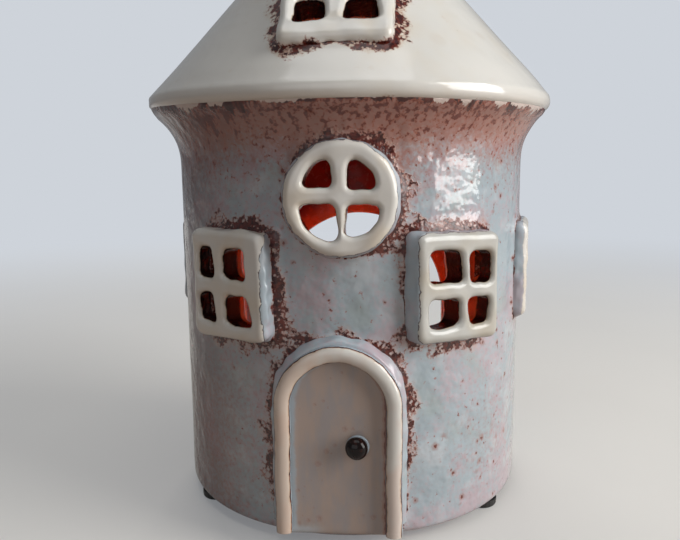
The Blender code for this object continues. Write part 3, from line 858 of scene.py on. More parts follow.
def onSameSide(gap, local):
    # A point further behind a slab than this is on the other side of the house, and far from its opening
    behind, far = 0.035, 0.1
    return np.where(local[..., 2] > -behind, gap, far)


def windowGapAt(key, points, inset=0.0):
    local = moved(points, windowPlace(key).inverted())
    return onSameSide(windowGap(key, local, inset), local)


def footGapAt(key, points):
    # Distance from where the pooled glaze at a window's foot ends
    return windowGapAt(key, points) - windowSizes["pool"]


archPlace = facing(180.0, house["radius"] + house["thickness"], house["floorTop"])
doorPlace = facing(0.0, house["radius"] + door["proud"], house["foot"])
wallWindows = ("frontLeft", "frontRight", "sideLeft", "sideRight", "round")


def archOpening(points):
    local = moved(points, archPlace.inverted())
    arch = house["arch"]
    return onSameSide(archGap(local[..., 0], local[..., 1], arch["half"], 0.0, arch["high"]), local)


def doorGapAt(points):
    local = moved(points, doorPlace.inverted())
    gap = archGap(local[..., 0], local[..., 1], door["width"] / 2, door["low"], door["high"])
    return onSameSide(gap, local)


# Wall: a shell 5 mm thick that flares under the roof, holed for the windows and the arch
wall = {
    # The skin's columns and rows, its unevenness, and how high and wide glaze pools against the slabs
    "columns": 400, "rows": 126, "wander": 0.00030, "fillet": 0.0008, "filletReach": 0.0009,
    # Past the CAD wall's top: how far the wall goes on up, how far it leans out, and where it meets the
    # roof's rolled edge, each with how much more at the left
    "tuck": 0.0015, "tuckLeft": 0.0024, "lean": 0.1, "leanLeft": 0.5, "joint": 0.0009, "jointLeft": 0.0020,
    # Where the glaze broke most, as degrees from the door, height, spread and width, in millimetres
    "breaks": (
        (14, 117, 9, 9.0), (-6, 119, 10, 6.0), (21, 104, 8, 9.0), (19, 88, 9, 9.0), (17, 80, 7, 5.0),
        (-17, 95, 10, 2.4), (-12, 82, 6, 2.6), (-38, 94, 9, 9.5), (-26, 95, 8, 9.0), (-18, 90, 5, 3.4),
        (-15, 72, 11, 6.0), (-14, 60, 7, 8.0), (-27, 57, 10, 11.0), (-40, 57, 9, 10.0), (22, 94, 6, 8.0),
        (34, 94, 10, 6.0), (45, 93, 8, 6.0), (49, 78, 11, 3.4), (30, 56, 10, 9.5), (42, 57, 9, 9.0),
        (18, 58, 7, 7.0), (-13, 63, 8, 8.0), (2, 66, 6, 6.0), (15, 57, 8, 9.0), (20, 42, 9, 10.0),
        (20, 28, 9, 9.0), (20, 14, 6, 4.0), (-20, 36, 11, 12.0), (-20, 20, 10, 10.0), (-95, 94, 10, 7.0),
        (-20, 50, 8, 7.0), (-110, 57, 10, 7.0), (-118, 76, 9, 5.0), (-88, 70, 9, 4.0), (78, 94, 8, 5.0),
        (88, 57, 10, 7.0), (94, 80, 9, 5.0)),
    # Where it hardly broke: degrees from the door, height, spread, how much less
    "calm": ((63, 78, 15, 0.8), (-53, 78, 12, 0.6), (-8, 84, 7, 0.5)),
    # Round the eaves: degrees from the door, spread in degrees, width in millimetres
    "eaveBreaks": (
        (-50, 12, 6.5), (-36, 9, 5.5), (-24, 6, 5.5), (-6, 8, 2.4), (10, 5, 3.0), (21, 4, 3.6), (29, 4, 3.4),
        (37, 6, 6.5), (50, 8, 6.0), (64, 9, 4.5), (85, 14, 5.0), (105, 15, 4.6), (140, 16, 6.4),
        (180, 20, 5.0), (-140, 16, 6.4), (-110, 14, 4.6), (-80, 14, 6.2)),
    # Runs of the roof's cream glaze over the wall's top: degrees from the door, spread, length in mm
    "drips": (
        (-41, 4.0, 3.0), (-30, 2.5, 1.6), (-12, 6.0, 1.2), (25, 1.8, 2.4), (32, 1.4, 2.6), (43, 1.8, 2.8),
        (52, 4.0, 2.4), (62, 5.0, 3.0), (90, 6.0, 2.2), (120, 5.0, 2.6), (170, 8.0, 2.4), (-150, 6.0, 2.6),
        (-105, 6.0, 2.0)),
}


def leftness(turn):
    return np.clip(-np.cos(turn), 0.0, 1.0) ** 3


def jointAt(turn):
    # Height of the line where the wall meets the roof's rolled edge
    return wallTop + wall["joint"] + wall["jointLeft"] * leftness(turn)


def rimPull(turn):
    # How far the roof's rolled edge falls short of its full radius
    wave = handWave(turn, 0.0, 7.0)
    return roof["rimWander"] * (0.5 + 0.5 * wave) + roof["rightPull"] * np.clip(np.cos(turn), 0.0, 1.0) ** 2


def openingGap(points):
    # Distance from the door and from the feet of the windows in the wall
    return np.minimum.reduce([doorGapAt(points)] + [footGapAt(key, points) for key in wallWindows])


def wallOuterAt(turn, height):
    left = leftness(turn)
    pull = rimPull(turn)
    height = height + wall["tuckLeft"] * left * easeBetween(height, wallTop - 0.004, wallTop + wall["tuck"])
    over = np.maximum(height - wallTop, 0.0)
    radius = wallRadiusAt(np.minimum(height, wallTop)) + (wall["lean"] + wall["leanLeft"] * left) * over
    radius = radius - 0.8 * pull * easeBetween(height, wallTop - 0.006, wallTop)
    radius = np.minimum(radius, rollCentre[0] + house["roll"] - 0.00035 - pull)
    near = openingGap(polar(radius, turn, height))
    fade = np.clip((wallTop - height) / 0.012, 0.0, 1.0) * np.clip((height - house["foot"]) / 0.006, 0.0, 1.0)
    radius = radius + wall["wander"] * handWave(turn, height, 1.0) * fade
    radius = radius + wall["fillet"] * np.exp(-np.maximum(near, 0.0) / wall["filletReach"])
    return polar(radius, turn, height)


def wallInnerAt(turn, height):
    # The arch is cut straight through, so near it the inner skin is met further round; high up, where the
    # arch has ended, and away from it, the two skins are met at the same angle
    off = (turn - math.pi / 2 + math.pi) % math.tau - math.pi
    radius = wallRadiusAt(height)
    inner = radius - house["thickness"]
    across = np.clip(radius * np.sin(off), -0.99 * inner, 0.99 * inner)
    shift = np.where(np.abs(off) < 1.3, np.arcsin(across / inner) - off, 0.0)
    share = np.clip((1.15 - np.abs(off)) / 0.35, 0.0, 1.0)
    lowered = np.clip((0.125 - height) / 0.03, 0.0, 1.0)
    turned = turn + shift * share * share * (3 - 2 * share) * lowered
    return polar(inner, turned, height)


def wallHoleAt(points):
    gap = archOpening(points) - house["arch"]["roll"]
    for key in wallWindows:
        gap = np.minimum(gap, windowGapAt(key, points, windowSizes["inset"]))
    return gap


def wallLips(outer, inner):
    atArch = archOpening(outer) < 0.004
    roll = np.where(atArch, house["arch"]["roll"], windowSizes["holeRoll"])
    return lipRows(wallHoleAt, outer, inner, roll)


def wallFootRows(outer, inner):
    turn = turnOf(outer)
    rows = [polar(house["radius"] - house["baseRound"] * (1 - math.cos(bend)), turn,
                  house["foot"] + house["baseRound"] * (1 - math.sin(bend))) for bend in lipBends]
    return rows + [polar(house["radius"] - house["thickness"], turn, house["foot"])]


def azimuthOf(points):
    return np.degrees(np.arctan2(points[:, 0], -points[:, 1]))


def apartRound(azimuth, spotTurn):
    # Degrees from a spot, the short way round
    return (azimuth - spotTurn + 180) % 360 - 180


def widestSpot(start, azimuth, spots):
    width = np.full(len(azimuth), start)
    for spotTurn, spread, size in spots:
        width = np.maximum(width, size * np.exp(-(apartRound(azimuth, spotTurn) / spread) ** 2))
    return width


def spotShare(across, up, spread):
    return np.exp(-(across ** 2 + up ** 2) / spread ** 2)


def wallLayers(mesh, points, inside):
    azimuth = azimuthOf(points)
    turn = np.radians(azimuth - 90)
    height = points[:, 2] * 1000
    down = (jointAt(turn) - points[:, 2]) * 1000
    below = np.maximum(down, 0.0)
    near = openingGap(points) * 1000
    drift = handWave(turn, points[:, 2], 4.0)
    gap = archOpening(points)
    outside = 1 - inside
    width = np.full(len(points), 1.2)
    for spotTurn, spotHeight, spread, size in wall["breaks"]:
        share = spotShare(apartRound(azimuth, spotTurn), height - spotHeight, spread)
        width = np.maximum(width, size * share)
    for spotTurn, spotHeight, spread, less in wall["calm"]:
        share = spotShare(apartRound(azimuth, spotTurn), height - spotHeight, spread)
        width = width * (1 - less * share)
    eaveWidth = widestSpot(1.6, azimuth, wall["eaveBreaks"])
    drip = widestSpot(0.3, azimuth, wall["drips"])
    # The left side, away from the window lamp, is painted darker and browner as painted shade: under the
    # eaves, where the glaze is also really brown, all the way down, and at the foot
    west = easeBetween(azimuth + 130, 0.0, 40.0)
    shaded = 0.30 * easeBetween(-azimuth, 20.0, 60.0) * west
    leftShade = easeBetween(-azimuth, 12.0, 50.0) * west
    farLeftShade = 0.66 * easeBetween(-azimuth, 22.0, 62.0) * west
    lowLeftShade = 0.42 * easeBetween(-azimuth, 12.0, 40.0) * easeBetween(60 - height, 0.0, 20.0) * west
    lowRight = np.exp(-((azimuth - 48) / 22) ** 2 - ((height - 25) / 22) ** 2)
    blushAndShade = (1.0 + shaded) * np.exp(-(below / (16.0 + 20 * shaded)) ** 1.6)
    blushAndShade = blushAndShade + 0.45 * np.exp(-near / 4.0) * np.clip(width / 5, 0, 1)
    freckle = 0.16 + 0.70 * np.exp(-below / 16.0) + 0.3 * np.exp(-near / 6.0) + 0.50 * lowRight
    brownAndShade = np.maximum(leftShade * np.exp(-(below / 15.0) ** 1.6), farLeftShade)
    setLayer(mesh, "reach", np.clip(1 - near / width, 0.0, 1.0) * outside)
    setLayer(mesh, "eaveReach", np.clip(1 - down / eaveWidth, 0.0, 1.0) * outside)
    setLayer(mesh, "drip", np.clip(1 - down / drip, 0.0, 1.0) * outside)
    # Rose blush near the eaves, openings and lower right, plus painted shade on the left and lower left
    setLayer(mesh, "blushAndShade", np.clip(blushAndShade + 0.10 * drift + 0.25 * lowRight + lowLeftShade, 0.0, 1.0))
    setLayer(mesh, "freckle", np.clip(freckle + 0.12 * drift, 0.0, 1.0))
    # Streaks under the eaves, more on the left as painted shade
    setLayer(mesh, "streakAndShade", (1 + 0.5 * leftShade) * np.exp(-(below / 13.0) ** 1.3) * outside)
    # Left side browner and darker: painted shade, with the eaves' own brown glaze
    setLayer(mesh, "brownAndShade", brownAndShade * outside)
    # Painted shade: the inner wall above and beside the arch, past its lit rim, turns darker wine red
    setLayer(mesh, "innerShade", easeBetween(gap, 0.0015, 0.0100) * easeBetween(0.05 - gap, 0.0, 0.01) * inside)


def finishShell(name, mesh, *materials):
    mesh.name = name
    mesh.validate()
    return newPiece(name, mesh, *materials)


def makeWall():
    columns = np.arange(wall["columns"]) * math.tau / wall["columns"]
    rows = np.linspace(house["foot"] + house["baseRound"], wallTop + wall["tuck"], wall["rows"])
    noRows = (wallFootRows, lambda outer, inner: [])
    mesh, inside, skinCount = makeShell(columns, rows, wallOuterAt, wallInnerAt, wallHoleAt, wallLips, noRows)
    piece = finishShell("wallShell", mesh, wallGlaze, insideGlaze)
    points = pointsOf(mesh)
    wallLayers(mesh, points, inside)
    # The inner skin and the lips of the arch take the red glaze
    lips = (np.arange(len(points)) >= 2 * skinCount) & (points[:, 2] > house["floorTop"] - 0.003)
    red = (inside > 0.5) | (lips & (radiusOf(points) < wallRadiusAt(points[:, 2]) - 0.0006))
    corners = np.empty(len(mesh.loops), np.int64)
    mesh.loops.foreach_get("vertex_index", corners)
    starts = np.empty(len(mesh.polygons), np.int64)
    mesh.polygons.foreach_get("loop_start", starts)
    share = np.add.reduceat(red[corners].astype(float), starts) / np.diff(np.append(starts, len(corners)))
    mesh.polygons.foreach_set("material_index", (share > 0.6).astype(np.int32))
    return piece


# Roof: a cone whose edge is rolled round, holed for its window
roof = {
    "columns": 400, "rows": 80, "wander": 0.00030, "fillet": 0.0007, "filletReach": 0.0009,
    # The rolled edge: how far it strays in and down, how far its underside is lifted, how far it falls
    # short at the right; then the hollow over it, and the swell of the roof's left side
    "rimWander": 0.0007, "rimDrop": 0.0003, "rimLift": 0.0001, "rimLiftLeft": 0.0020, "rightPull": 0.0005,
    "rimSteps": 14, "shoulder": 0.0005, "shoulderReach": 0.0055, "leftSwell": 0.0006,
    # Where the glaze broke round the roof window, in mm: across, up the slope from its foot, spread, width
    "breaks": ((-18, 6, 9, 7.0), (-18, 20, 12, 8.0), (-10, -2, 7, 7.0), (9, -2, 7, 6.0),
               (18, 8, 9, 8.0), (18, 24, 12, 8.0), (0, 37, 14, 6.0)),
    # How far the brown climbs the rim: degrees from the door, spread, millimetres
    "rimBreaks": (
        (-64, 10, 0.6), (-24, 4, 0.6), (4, 7, 0.5), (12, 5, 0.7), (22, 2, 0.5), (37, 4, 0.5), (90, 12, 0.9),
        (125, 9, 1.8), (160, 14, 1.3), (-160, 10, 1.9), (-120, 12, 1.5), (-90, 8, 1.8)),
}
roofFramePlace = facing(0.0, eave[0], eave[1], 90.0 - house["pitch"])


def slopePoint(turn, along, outward):
    radius = eave[0] - along * math.cos(slope) + outward * slopeOut[0]
    height = eave[1] + along * math.sin(slope) + outward * slopeOut[1]
    return polar(radius, turn, height)


def shoulderAt(turn):
    return roof["shoulder"] * (1 - 1.7 * leftness(turn))


def roofOuterAt(turn, along):
    near = footGapAt("roof", slopePoint(turn, along, 0.0))
    fade = np.clip(along / 0.012, 0.0, 1.0) * np.clip((slopeLength - along) / 0.010, 0.0, 1.0)
    outward = roof["wander"] * handWave(turn, along, 2.0) * fade
    outward = outward + roof["fillet"] * np.exp(-np.maximum(near, 0.0) / roof["filletReach"])
    outward = outward - shoulderAt(turn) * np.exp(-(along / roof["shoulderReach"]) ** 2)
    outward = outward + roof["leftSwell"] * leftness(turn) * np.clip((slopeLength - along) / 0.030, 0.0, 1.0)
    return slopePoint(turn, along, outward)


def roofInnerAt(turn, along):
    skin = house["roofThickness"]
    start = (eave[0] - skin * slopeOut[0] - house["seatRadius"]) / math.cos(slope)
    end = (eave[0] - skin * slopeOut[0] - house["ventRadius"]) / math.cos(slope)
    inner = np.interp(along, (0.0, 0.010, 0.055, slopeLength), (start, 0.010, 0.055, end))
    return slopePoint(turn, inner, -skin)


def roofHoleAt(points):
    return windowGapAt("roof", points, windowSizes["inset"])


def roofLips(outer, inner):
    return lipRows(roofHoleAt, outer, inner, windowSizes["holeRoll"])


def roofRimRows(outer, inner):
    turn = turnOf(outer)
    lift = roof["rimLift"] + roof["rimLiftLeft"] * leftness(turn)
    steps = roof["rimSteps"]
    rows = []
    for k in range(1, steps + 1):
        angle = math.radians(90.0 - house["pitch"] + (-90.0 - 90.0 + house["pitch"]) * k / steps)
        share = k / steps
        pull = rimPull(turn) * math.sin(math.pi / 2 * min(1.0, share / 0.32))
        drop = roof["rimDrop"] * handWave(turn, 0.1, 9.0) * share * share
        fallen = (shoulderAt(turn) - roof["leftSwell"] * leftness(turn)) * (1 - share) ** 2
        radius = rollCentre[0] + house["roll"] * math.cos(angle) - pull - fallen * slopeOut[0]
        radius = np.minimum(radius, rollCentre[0] + house["roll"] - 0.0001)
        tall = house["roll"] - (lift if angle < 0 else 0.0)
        rows.append(polar(radius, turn, rollCentre[1] + tall * math.sin(angle) + drop - fallen * slopeOut[1]))
    return rows + [polar(house["seatRadius"], turn, house["eaveFoot"])]


def roofTopRows(outer, inner):
    return [polar(house["ventRadius"], turnOf(outer), outer[:, 2])]


def makeRoof():
    columns = np.arange(roof["columns"]) * math.tau / roof["columns"]
    rows = np.linspace(0.0, slopeLength, roof["rows"])
    mesh, inside, _ = makeShell(columns, rows, roofOuterAt, roofInnerAt, roofHoleAt, roofLips,
                                (roofRimRows, roofTopRows))
    piece = finishShell("roofShell", mesh, roofGlaze)
    points = pointsOf(mesh)
    local = moved(points, roofFramePlace.inverted()) * 1000
    near = footGapAt("roof", points) * 1000
    width = np.full(len(points), 0.9)
    for across, up, spread, size in roof["breaks"]:
        climb = up + windowSizes["roofSetback"] * 1000
        width = np.maximum(width, size * spotShare(local[:, 0] - across, local[:, 1] - climb, spread))
    reach = np.clip(1 - near / width, 0.0, 1.0) * (1 - inside)
    climb = widestSpot(0.1, azimuthOf(points), roof["rimBreaks"])
    low = (jointAt(turnOf(points)) - points[:, 2]) * 1000 + climb
    setLayer(mesh, "reach", np.maximum(reach, np.clip(0.45 + 0.5 * low, 0.0, 1.0) * np.clip(climb, 0.0, 1.0)))
    setLayer(mesh, "inside", inside)
    return piece


# Slabs: a flat outline with holes, filled, bevelled, remeshed fine and smoothed to a soft clay edge

def softLoop(corners, radius, wander, seed, spacing=0.0005):
    # Corners in order, each turned round an arc, then spaced evenly and let stray a little
    spots = [Vector(corner) for corner in corners]
    count = len(spots)
    path = []
    for k, corner in enumerate(spots):
        before = spots[k - 1] - corner
        after = spots[(k + 1) % count] - corner
        cut = min(radius, 0.45 * before.length, 0.45 * after.length)
        start = corner + before.normalized() * cut
        end = corner + after.normalized() * cut
        for step in range(7):
            share = step / 6
            path.append((1 - share) ** 2 * start + 2 * share * (1 - share) * corner + share ** 2 * end)
    path.append(path[0])
    line = np.array([tuple(spot) for spot in path])
    steps = np.hypot(*np.diff(line, axis=0).T)
    reach = np.concatenate([[0.0], np.cumsum(steps)])
    number = max(12, int(reach[-1] / spacing))
    at = np.arange(number) * reach[-1] / number
    x, y = np.interp(at, reach, line[:, 0]), np.interp(at, reach, line[:, 1])
    forward = np.stack([np.roll(x, -1) - np.roll(x, 1), np.roll(y, -1) - np.roll(y, 1)])
    forward = forward / np.maximum(np.hypot(*forward), 1e-9)
    turn = math.tau * at / reach[-1]
    stray = wander * (np.sin(3 * turn + seed) + 0.7 * np.sin(5 * turn + 2.1 * seed)
                      + 0.5 * np.sin(8 * turn + 3.3 * seed))
    return np.stack([x + stray * forward[1], y - stray * forward[0]], -1)


def loopDistance(points, loop):
    # Distance of flat points from a closed loop
    best = np.full(len(points), 1.0)
    for start, end in zip(loop, np.roll(loop, -1, 0)):
        edge = end - start
        share = np.clip(((points - start) @ edge) / max(edge @ edge, 1e-12), 0.0, 1.0)
        best = np.minimum(best, np.hypot(*(points - start - share[:, None] * edge).T))
    return best


def softSlab(name, loops, depth, edge, voxel, smoothing):
    data = bpy.data.curves.new(name, "CURVE")
    data.dimensions = "2D"
    data.fill_mode = "BOTH"
    data.extrude = depth / 2 - edge
    data.bevel_depth = edge
    data.bevel_resolution = 3
    data.offset = -edge
    for loop in loops:
        line = data.splines.new("POLY")
        line.points.add(len(loop) - 1)
        for point, (x, y) in zip(line.points, loop.tolist()):
            point.co = (x, y, 0.0, 1.0)
        line.use_cyclic_u = True
    mesh = settled(addObject(name + "Outline", data))
    weldMesh(mesh, 0.00001)
    rough = addObject(name, mesh)
    clay = rough.modifiers.new("clay", "REMESH")
    clay.mode = "VOXEL"
    clay.voxel_size = voxel
    thumb = rough.modifiers.new("thumb", "SMOOTH")
    thumb.factor = 0.5
    thumb.iterations = smoothing
    mesh = settled(rough)
    points = pointsOf(mesh)
    points[:, 2] -= depth / 2
    return mesh, points


def roundedDrop(distance, radius):
    # How far a rounded edge has fallen at a distance in from where it ends
    short = np.clip(radius - distance, 0.0, radius)
    return radius - np.sqrt(radius ** 2 - short ** 2)


def windowLoops(key):
    # The hand-cut outlines of a slab and of its panes
    spec, size = windows[key], windowSizes
    panes = []
    for k, pane in enumerate(paneCorners[key]):
        corners = [(x / 1000, y / 1000) for x, y in pane]
        panes.append(softLoop(corners, size["paneCorner"], size["paneWander"], spec["seed"] + k))
    if key == "round":
        ring = arcPoints(size["roundRadius"], range(0, 360, 10))
        outline = softLoop(ring, 0.004, size["roundWander"], spec["seed"])
        return outline * (size["roundRadius"] / np.hypot(*outline.T).mean()), panes
    corners = [(x / 1000, y / 1000) for x, y in spec["outline"]]
    return softLoop(corners, size["corner"] * 1.2, size["wander"], spec["seed"]), panes


def sideShares(away):
    # How far a point belongs to the left, right, top and bottom of its slab, as shares of 1
    lean = away / (np.array([windowSizes["width"], windowSizes["height"]]) / 2)
    shares = np.stack([-lean[:, 0], lean[:, 0], lean[:, 1], -lean[:, 1]], -1)
    shares = np.clip(shares, 0.0, None) ** 6
    return shares / np.maximum(shares.sum(-1, keepdims=True), 1e-9)


def windowBack(key, flat, toEdge, toPane):
    # Heights on the slab's own axis of its host's outer skin, and of its back, which ends flush with the
    # inside of the wall or roof and is rounded at the panes' inner edges
    size, proud = windowSizes, windows[key]["proud"]
    if key == "roof":
        radius = eave[0] - (size["roofSetback"] + flat[:, 1]) * math.cos(slope)
        sag = (radius - np.sqrt(np.maximum(radius ** 2 - flat[:, 0] ** 2, 0.0))) * math.sin(slope)
        host = -proud - sag
        back = host - house["roofThickness"] - 0.0001
    else:
        distance = house["radius"] + proud
        inner = house["radius"] - house["thickness"]
        host = np.sqrt(house["radius"] ** 2 - flat[:, 0] ** 2) - distance
        back = np.sqrt(inner ** 2 - flat[:, 0] ** 2) - distance - 0.0001
    return host, back + 0.0012 * np.exp(-toEdge / 0.0008) + roundedDrop(toPane, size["innerEdge"])


def paneFall(key, flat, panes):
    # The lower half of each pane widens inwards, so that little of its sill shows
    nearest = np.argmin([loopDistance(flat, pane) for pane in panes], axis=0)
    middles = np.array([pane.mean(0) for pane in panes])[nearest]
    halves = np.array([np.ptp(pane[:, 1]) / 2 for pane in panes])[nearest]
    below = np.clip((middles[:, 1] - flat[:, 1]) / halves, 0.0, 1.2) ** 2
    fall = np.stack([0.0 * below, -below], -1)
    if key == "round":
        # Round the lower rim of the round window the widening follows the rim
        reach = np.hypot(*flat.T)
        rim = easeBetween(reach, 0.0070, 0.0090) * easeBetween(-flat[:, 1], 0.0020, 0.0040)
        fall = fall + rim[:, None] * (1.6 * flat / np.maximum(reach, 1e-6)[:, None] - fall)
    return fall


def makeWindow(key):
    spec = windows[key]
    size = windowSizes
    seed = spec["seed"]
    outline, panes = windowLoops(key)
    depth = spec["proud"] + house["thickness"] + size["roofSag" if key == "roof" else "sag"]
    mesh, points = softSlab("clay", [outline] + panes, depth, size["bevel"], size["voxel"], size["smoothing"])
    flat = points[:, :2].copy()
    toEdge = loopDistance(flat, outline)
    toPane = np.min([loopDistance(flat, pane) for pane in panes], axis=0)
    under = np.maximum(-points[:, 2], 0.0)
    nearEdge = toEdge < toPane
    # The face is uneven and rolls over softly at its edges and into the panes
    face = np.exp(-(under / 0.0026) ** 2)
    roll = np.maximum(roundedDrop(toEdge, size["edge"]), roundedDrop(toPane, size["paneEdge"]))
    cut = roundedDrop(np.minimum(toEdge, toPane), size["bevel"])
    dents = 0.00018 * lumps(points, 0.009, seed) - 0.0001
    points[:, 2] += face * (dents - 0.85 * np.maximum(roll - cut, 0.0))
    # Pooled glaze spreads the foot, by another amount on each side, and leaves the sides uneven
    middle = np.array([0.0, size["roofLength"] / 2 if key == "roof" else 0.0])
    away = flat - middle
    shares = sideShares(away)
    spread = shares @ np.array(spec["spreads"]) / 1000 * easeBetween(under, 0.0006, spec["proud"] + 0.0002)
    spread = spread + 0.00025 * lumps(points, 0.0045, seed + 20) * easeBetween(under, 0.0002, 0.0012)
    reach = np.maximum(np.hypot(*away.T), 1e-6)[:, None]
    points[:, :2] += away / reach * (spread * np.exp(-toEdge / 0.0007))[:, None]
    host, back = windowBack(key, flat, toEdge, toPane)
    inside = (points[:, 2] < back + 0.0002) & (toEdge > 0.0008)
    points[:, 2] = np.maximum(points[:, 2], back)
    foot = (points[:, 2] - host) * 1000 / spec["climb"]
    if key == "roof":
        foot = foot + 2.0 * np.exp(-((flat[:, 0] - 0.001) / 0.0035) ** 2)
    widened = size["paneFall"] * (under * np.exp(-(toPane / 0.0010) ** 2))[:, None]
    points[:, :2] += widened * paneFall(key, flat, panes)
    setPoints(mesh, moved(points, windowPlace(key)))
    piece = newPiece(key + "Window", mesh, windowGlaze)
    laps = shares @ np.array(spec["laps"])
    setLayer(mesh, "lap", np.where(nearEdge, laps + (0.7 * under - toEdge) * 1000, -4.0))
    setLayer(mesh, "pane", np.where(nearEdge, 0.0, under * 1000))
    setLayer(mesh, "foot", np.where(nearEdge, foot, 9.0))
    # Past this depth a pane's side shows the red glaze of the inside
    red = np.where((key == "frontRight") & (flat[:, 0] > 0.0025), 5.8, 8.4)
    red = np.where((key == "frontLeft") & (flat[:, 0] > -0.0040), 6.6, red)
    setLayer(mesh, "inside", np.maximum(inside, np.clip((under * 1000 - red) / 0.5, 0.0, 1.0) * ~nearEdge))
    setLayer(mesh, "lined", np.full(len(points), spec["lined"]))
    # Painted shade that greys the face of the window nearest the window lamp
    setLayer(mesh, "rightWindowShade", np.full(len(points), float(key == "frontRight")))
    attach(piece, "house")
    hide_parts(spec["node"])
    return piece


def makeDoorSlab():
    half = door["width"] / 2
    crown = arcPoints(half, range(0, 181, 15), door["high"] - half)
    corners = [(-half, door["low"]), (half, door["low"])] + crown
    outline = softLoop(corners, door["corner"], door["wander"], door["seed"])
    depth = door["proud"] + house["thickness"]
    mesh, points = softSlab("clay", [outline], depth, door["edge"], door["voxel"], door["smoothing"])
    flat = points[:, :2].copy()
    host = np.sqrt(house["radius"] ** 2 - flat[:, 0] ** 2) - house["radius"] - door["proud"]
    coilHalf = half - door["coilRadius"] - door["coilGap"]
    coilHigh = door["high"] - door["coilRadius"] - door["coilGap"]
    coil = archGap(flat[:, 0], flat[:, 1], coilHalf, -0.05, coilHigh)
    face = np.exp(-np.maximum(-points[:, 2], 0.0) / 0.0015)
    wave = np.sin(flat[:, 0] * 210 + 1.0) * np.sin(flat[:, 1] * 170 + 2.0)
    hollow = np.clip(-coil / 0.004, 0.0, 1.0)
    points[:, 2] += face * (0.00010 * wave - 0.00035 * hollow)
    toEdge = loopDistance(flat, outline)
    under = np.maximum(-points[:, 2], 0.0)
    away = flat - np.array([0.0, door["high"] / 2])
    ragged = 0.00025 * lumps(points, 0.005, 31) * easeBetween(under, 0.0002, 0.0012)
    spread = 0.0009 * easeBetween(under, 0.0004, 0.0026) + ragged
    side = away / np.array([half, door["high"] / 2])
    side = side / np.maximum(np.hypot(*side.T), 1e-6)[:, None]
    points[:, :2] += side * (spread * np.exp(-toEdge / 0.0007) * (flat[:, 1] > 0.006))[:, None]
    points[:, 2] = np.maximum(points[:, 2], host - house["thickness"] + 0.0006)
    foot = (points[:, 2] - host) * 1000
    setPoints(mesh, moved(points, doorPlace))
    piece = newPiece("doorSlab", mesh, doorGlaze)
    setLayer(mesh, "coil", coil * 1000)
    setLayer(mesh, "foot", foot)
    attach(piece, "house")
    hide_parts("door_slab")
    return piece


# Geometry node helpers

def geometryTree(name, inputs):
    # A tree with a number for each size, whole where its first value is, and a material
    tree = bpy.data.node_groups.new(name, "GeometryNodeTree")
    tree.interface.new_socket(name="Geometry", in_out="INPUT", socket_type="NodeSocketGeometry")
    for label, value in inputs.items():
        kind = "NodeSocketInt" if isinstance(value, int) else "NodeSocketFloat"
        tree.interface.new_socket(name=label, in_out="INPUT", socket_type=kind).default_value = value
    tree.interface.new_socket(name="Material", in_out="INPUT", socket_type="NodeSocketMaterial")
    tree.interface.new_socket(name="Geometry", in_out="OUTPUT", socket_type="NodeSocketGeometry")
    return tree, addNode(tree, "NodeGroupInput"), tree.nodes.new("NodeGroupOutput").inputs[0]


def endTree(out, shape, material):
    # Ends a tree in real geometry with its material
    real = addNode(shape.tree, "GeometryNodeRealizeInstances", {"Geometry": shape})[0]
    feed(out, addNode(shape.tree, "GeometryNodeSetMaterial", {"Geometry": real, "Material": material})[0])
    return shape.tree


def grow(piece, tree, values):
    # Runs a geometry tree on a piece, with its inputs set by socket, and returns the plain mesh
    step = piece.modifiers.new("grow", "NODES")
    step.node_group = tree
    for item in tree.interface.items_tree:
        if item.in_out == "INPUT" and item.name in values:
            step[item.identifier] = values[item.name]
    return settled(piece)


def bareCurve(name, points):
    data = bpy.data.curves.new(name, "CURVE")
    data.dimensions = "3D"
    line = data.splines.new("POLY")
    line.points.add(len(points) - 1)
    for spot, place in zip(line.points, points):
        spot.co = (*place, 1.0)
    return addObject(name, data)


# Door coil: a rolled coil of clay laid along its path, flat behind, with a low domed face
coilShape = {
    "height": 0.0023, "sink": 0.0004, "wander": 0.0006, "swell": 0.22, "around": 36, "steps": 150,
    # Its crown: a slight peak, how much thicker it is there and from how far down, and how far it sits lower
    "peak": 0.0003, "crown": 0.34, "crownReach": 0.010, "crownDrop": 0.0004,
    # How far its ends stop short of the door's foot, and how much shorter the left one is
    "end": 0.0010, "endLeft": 0.0004,
}


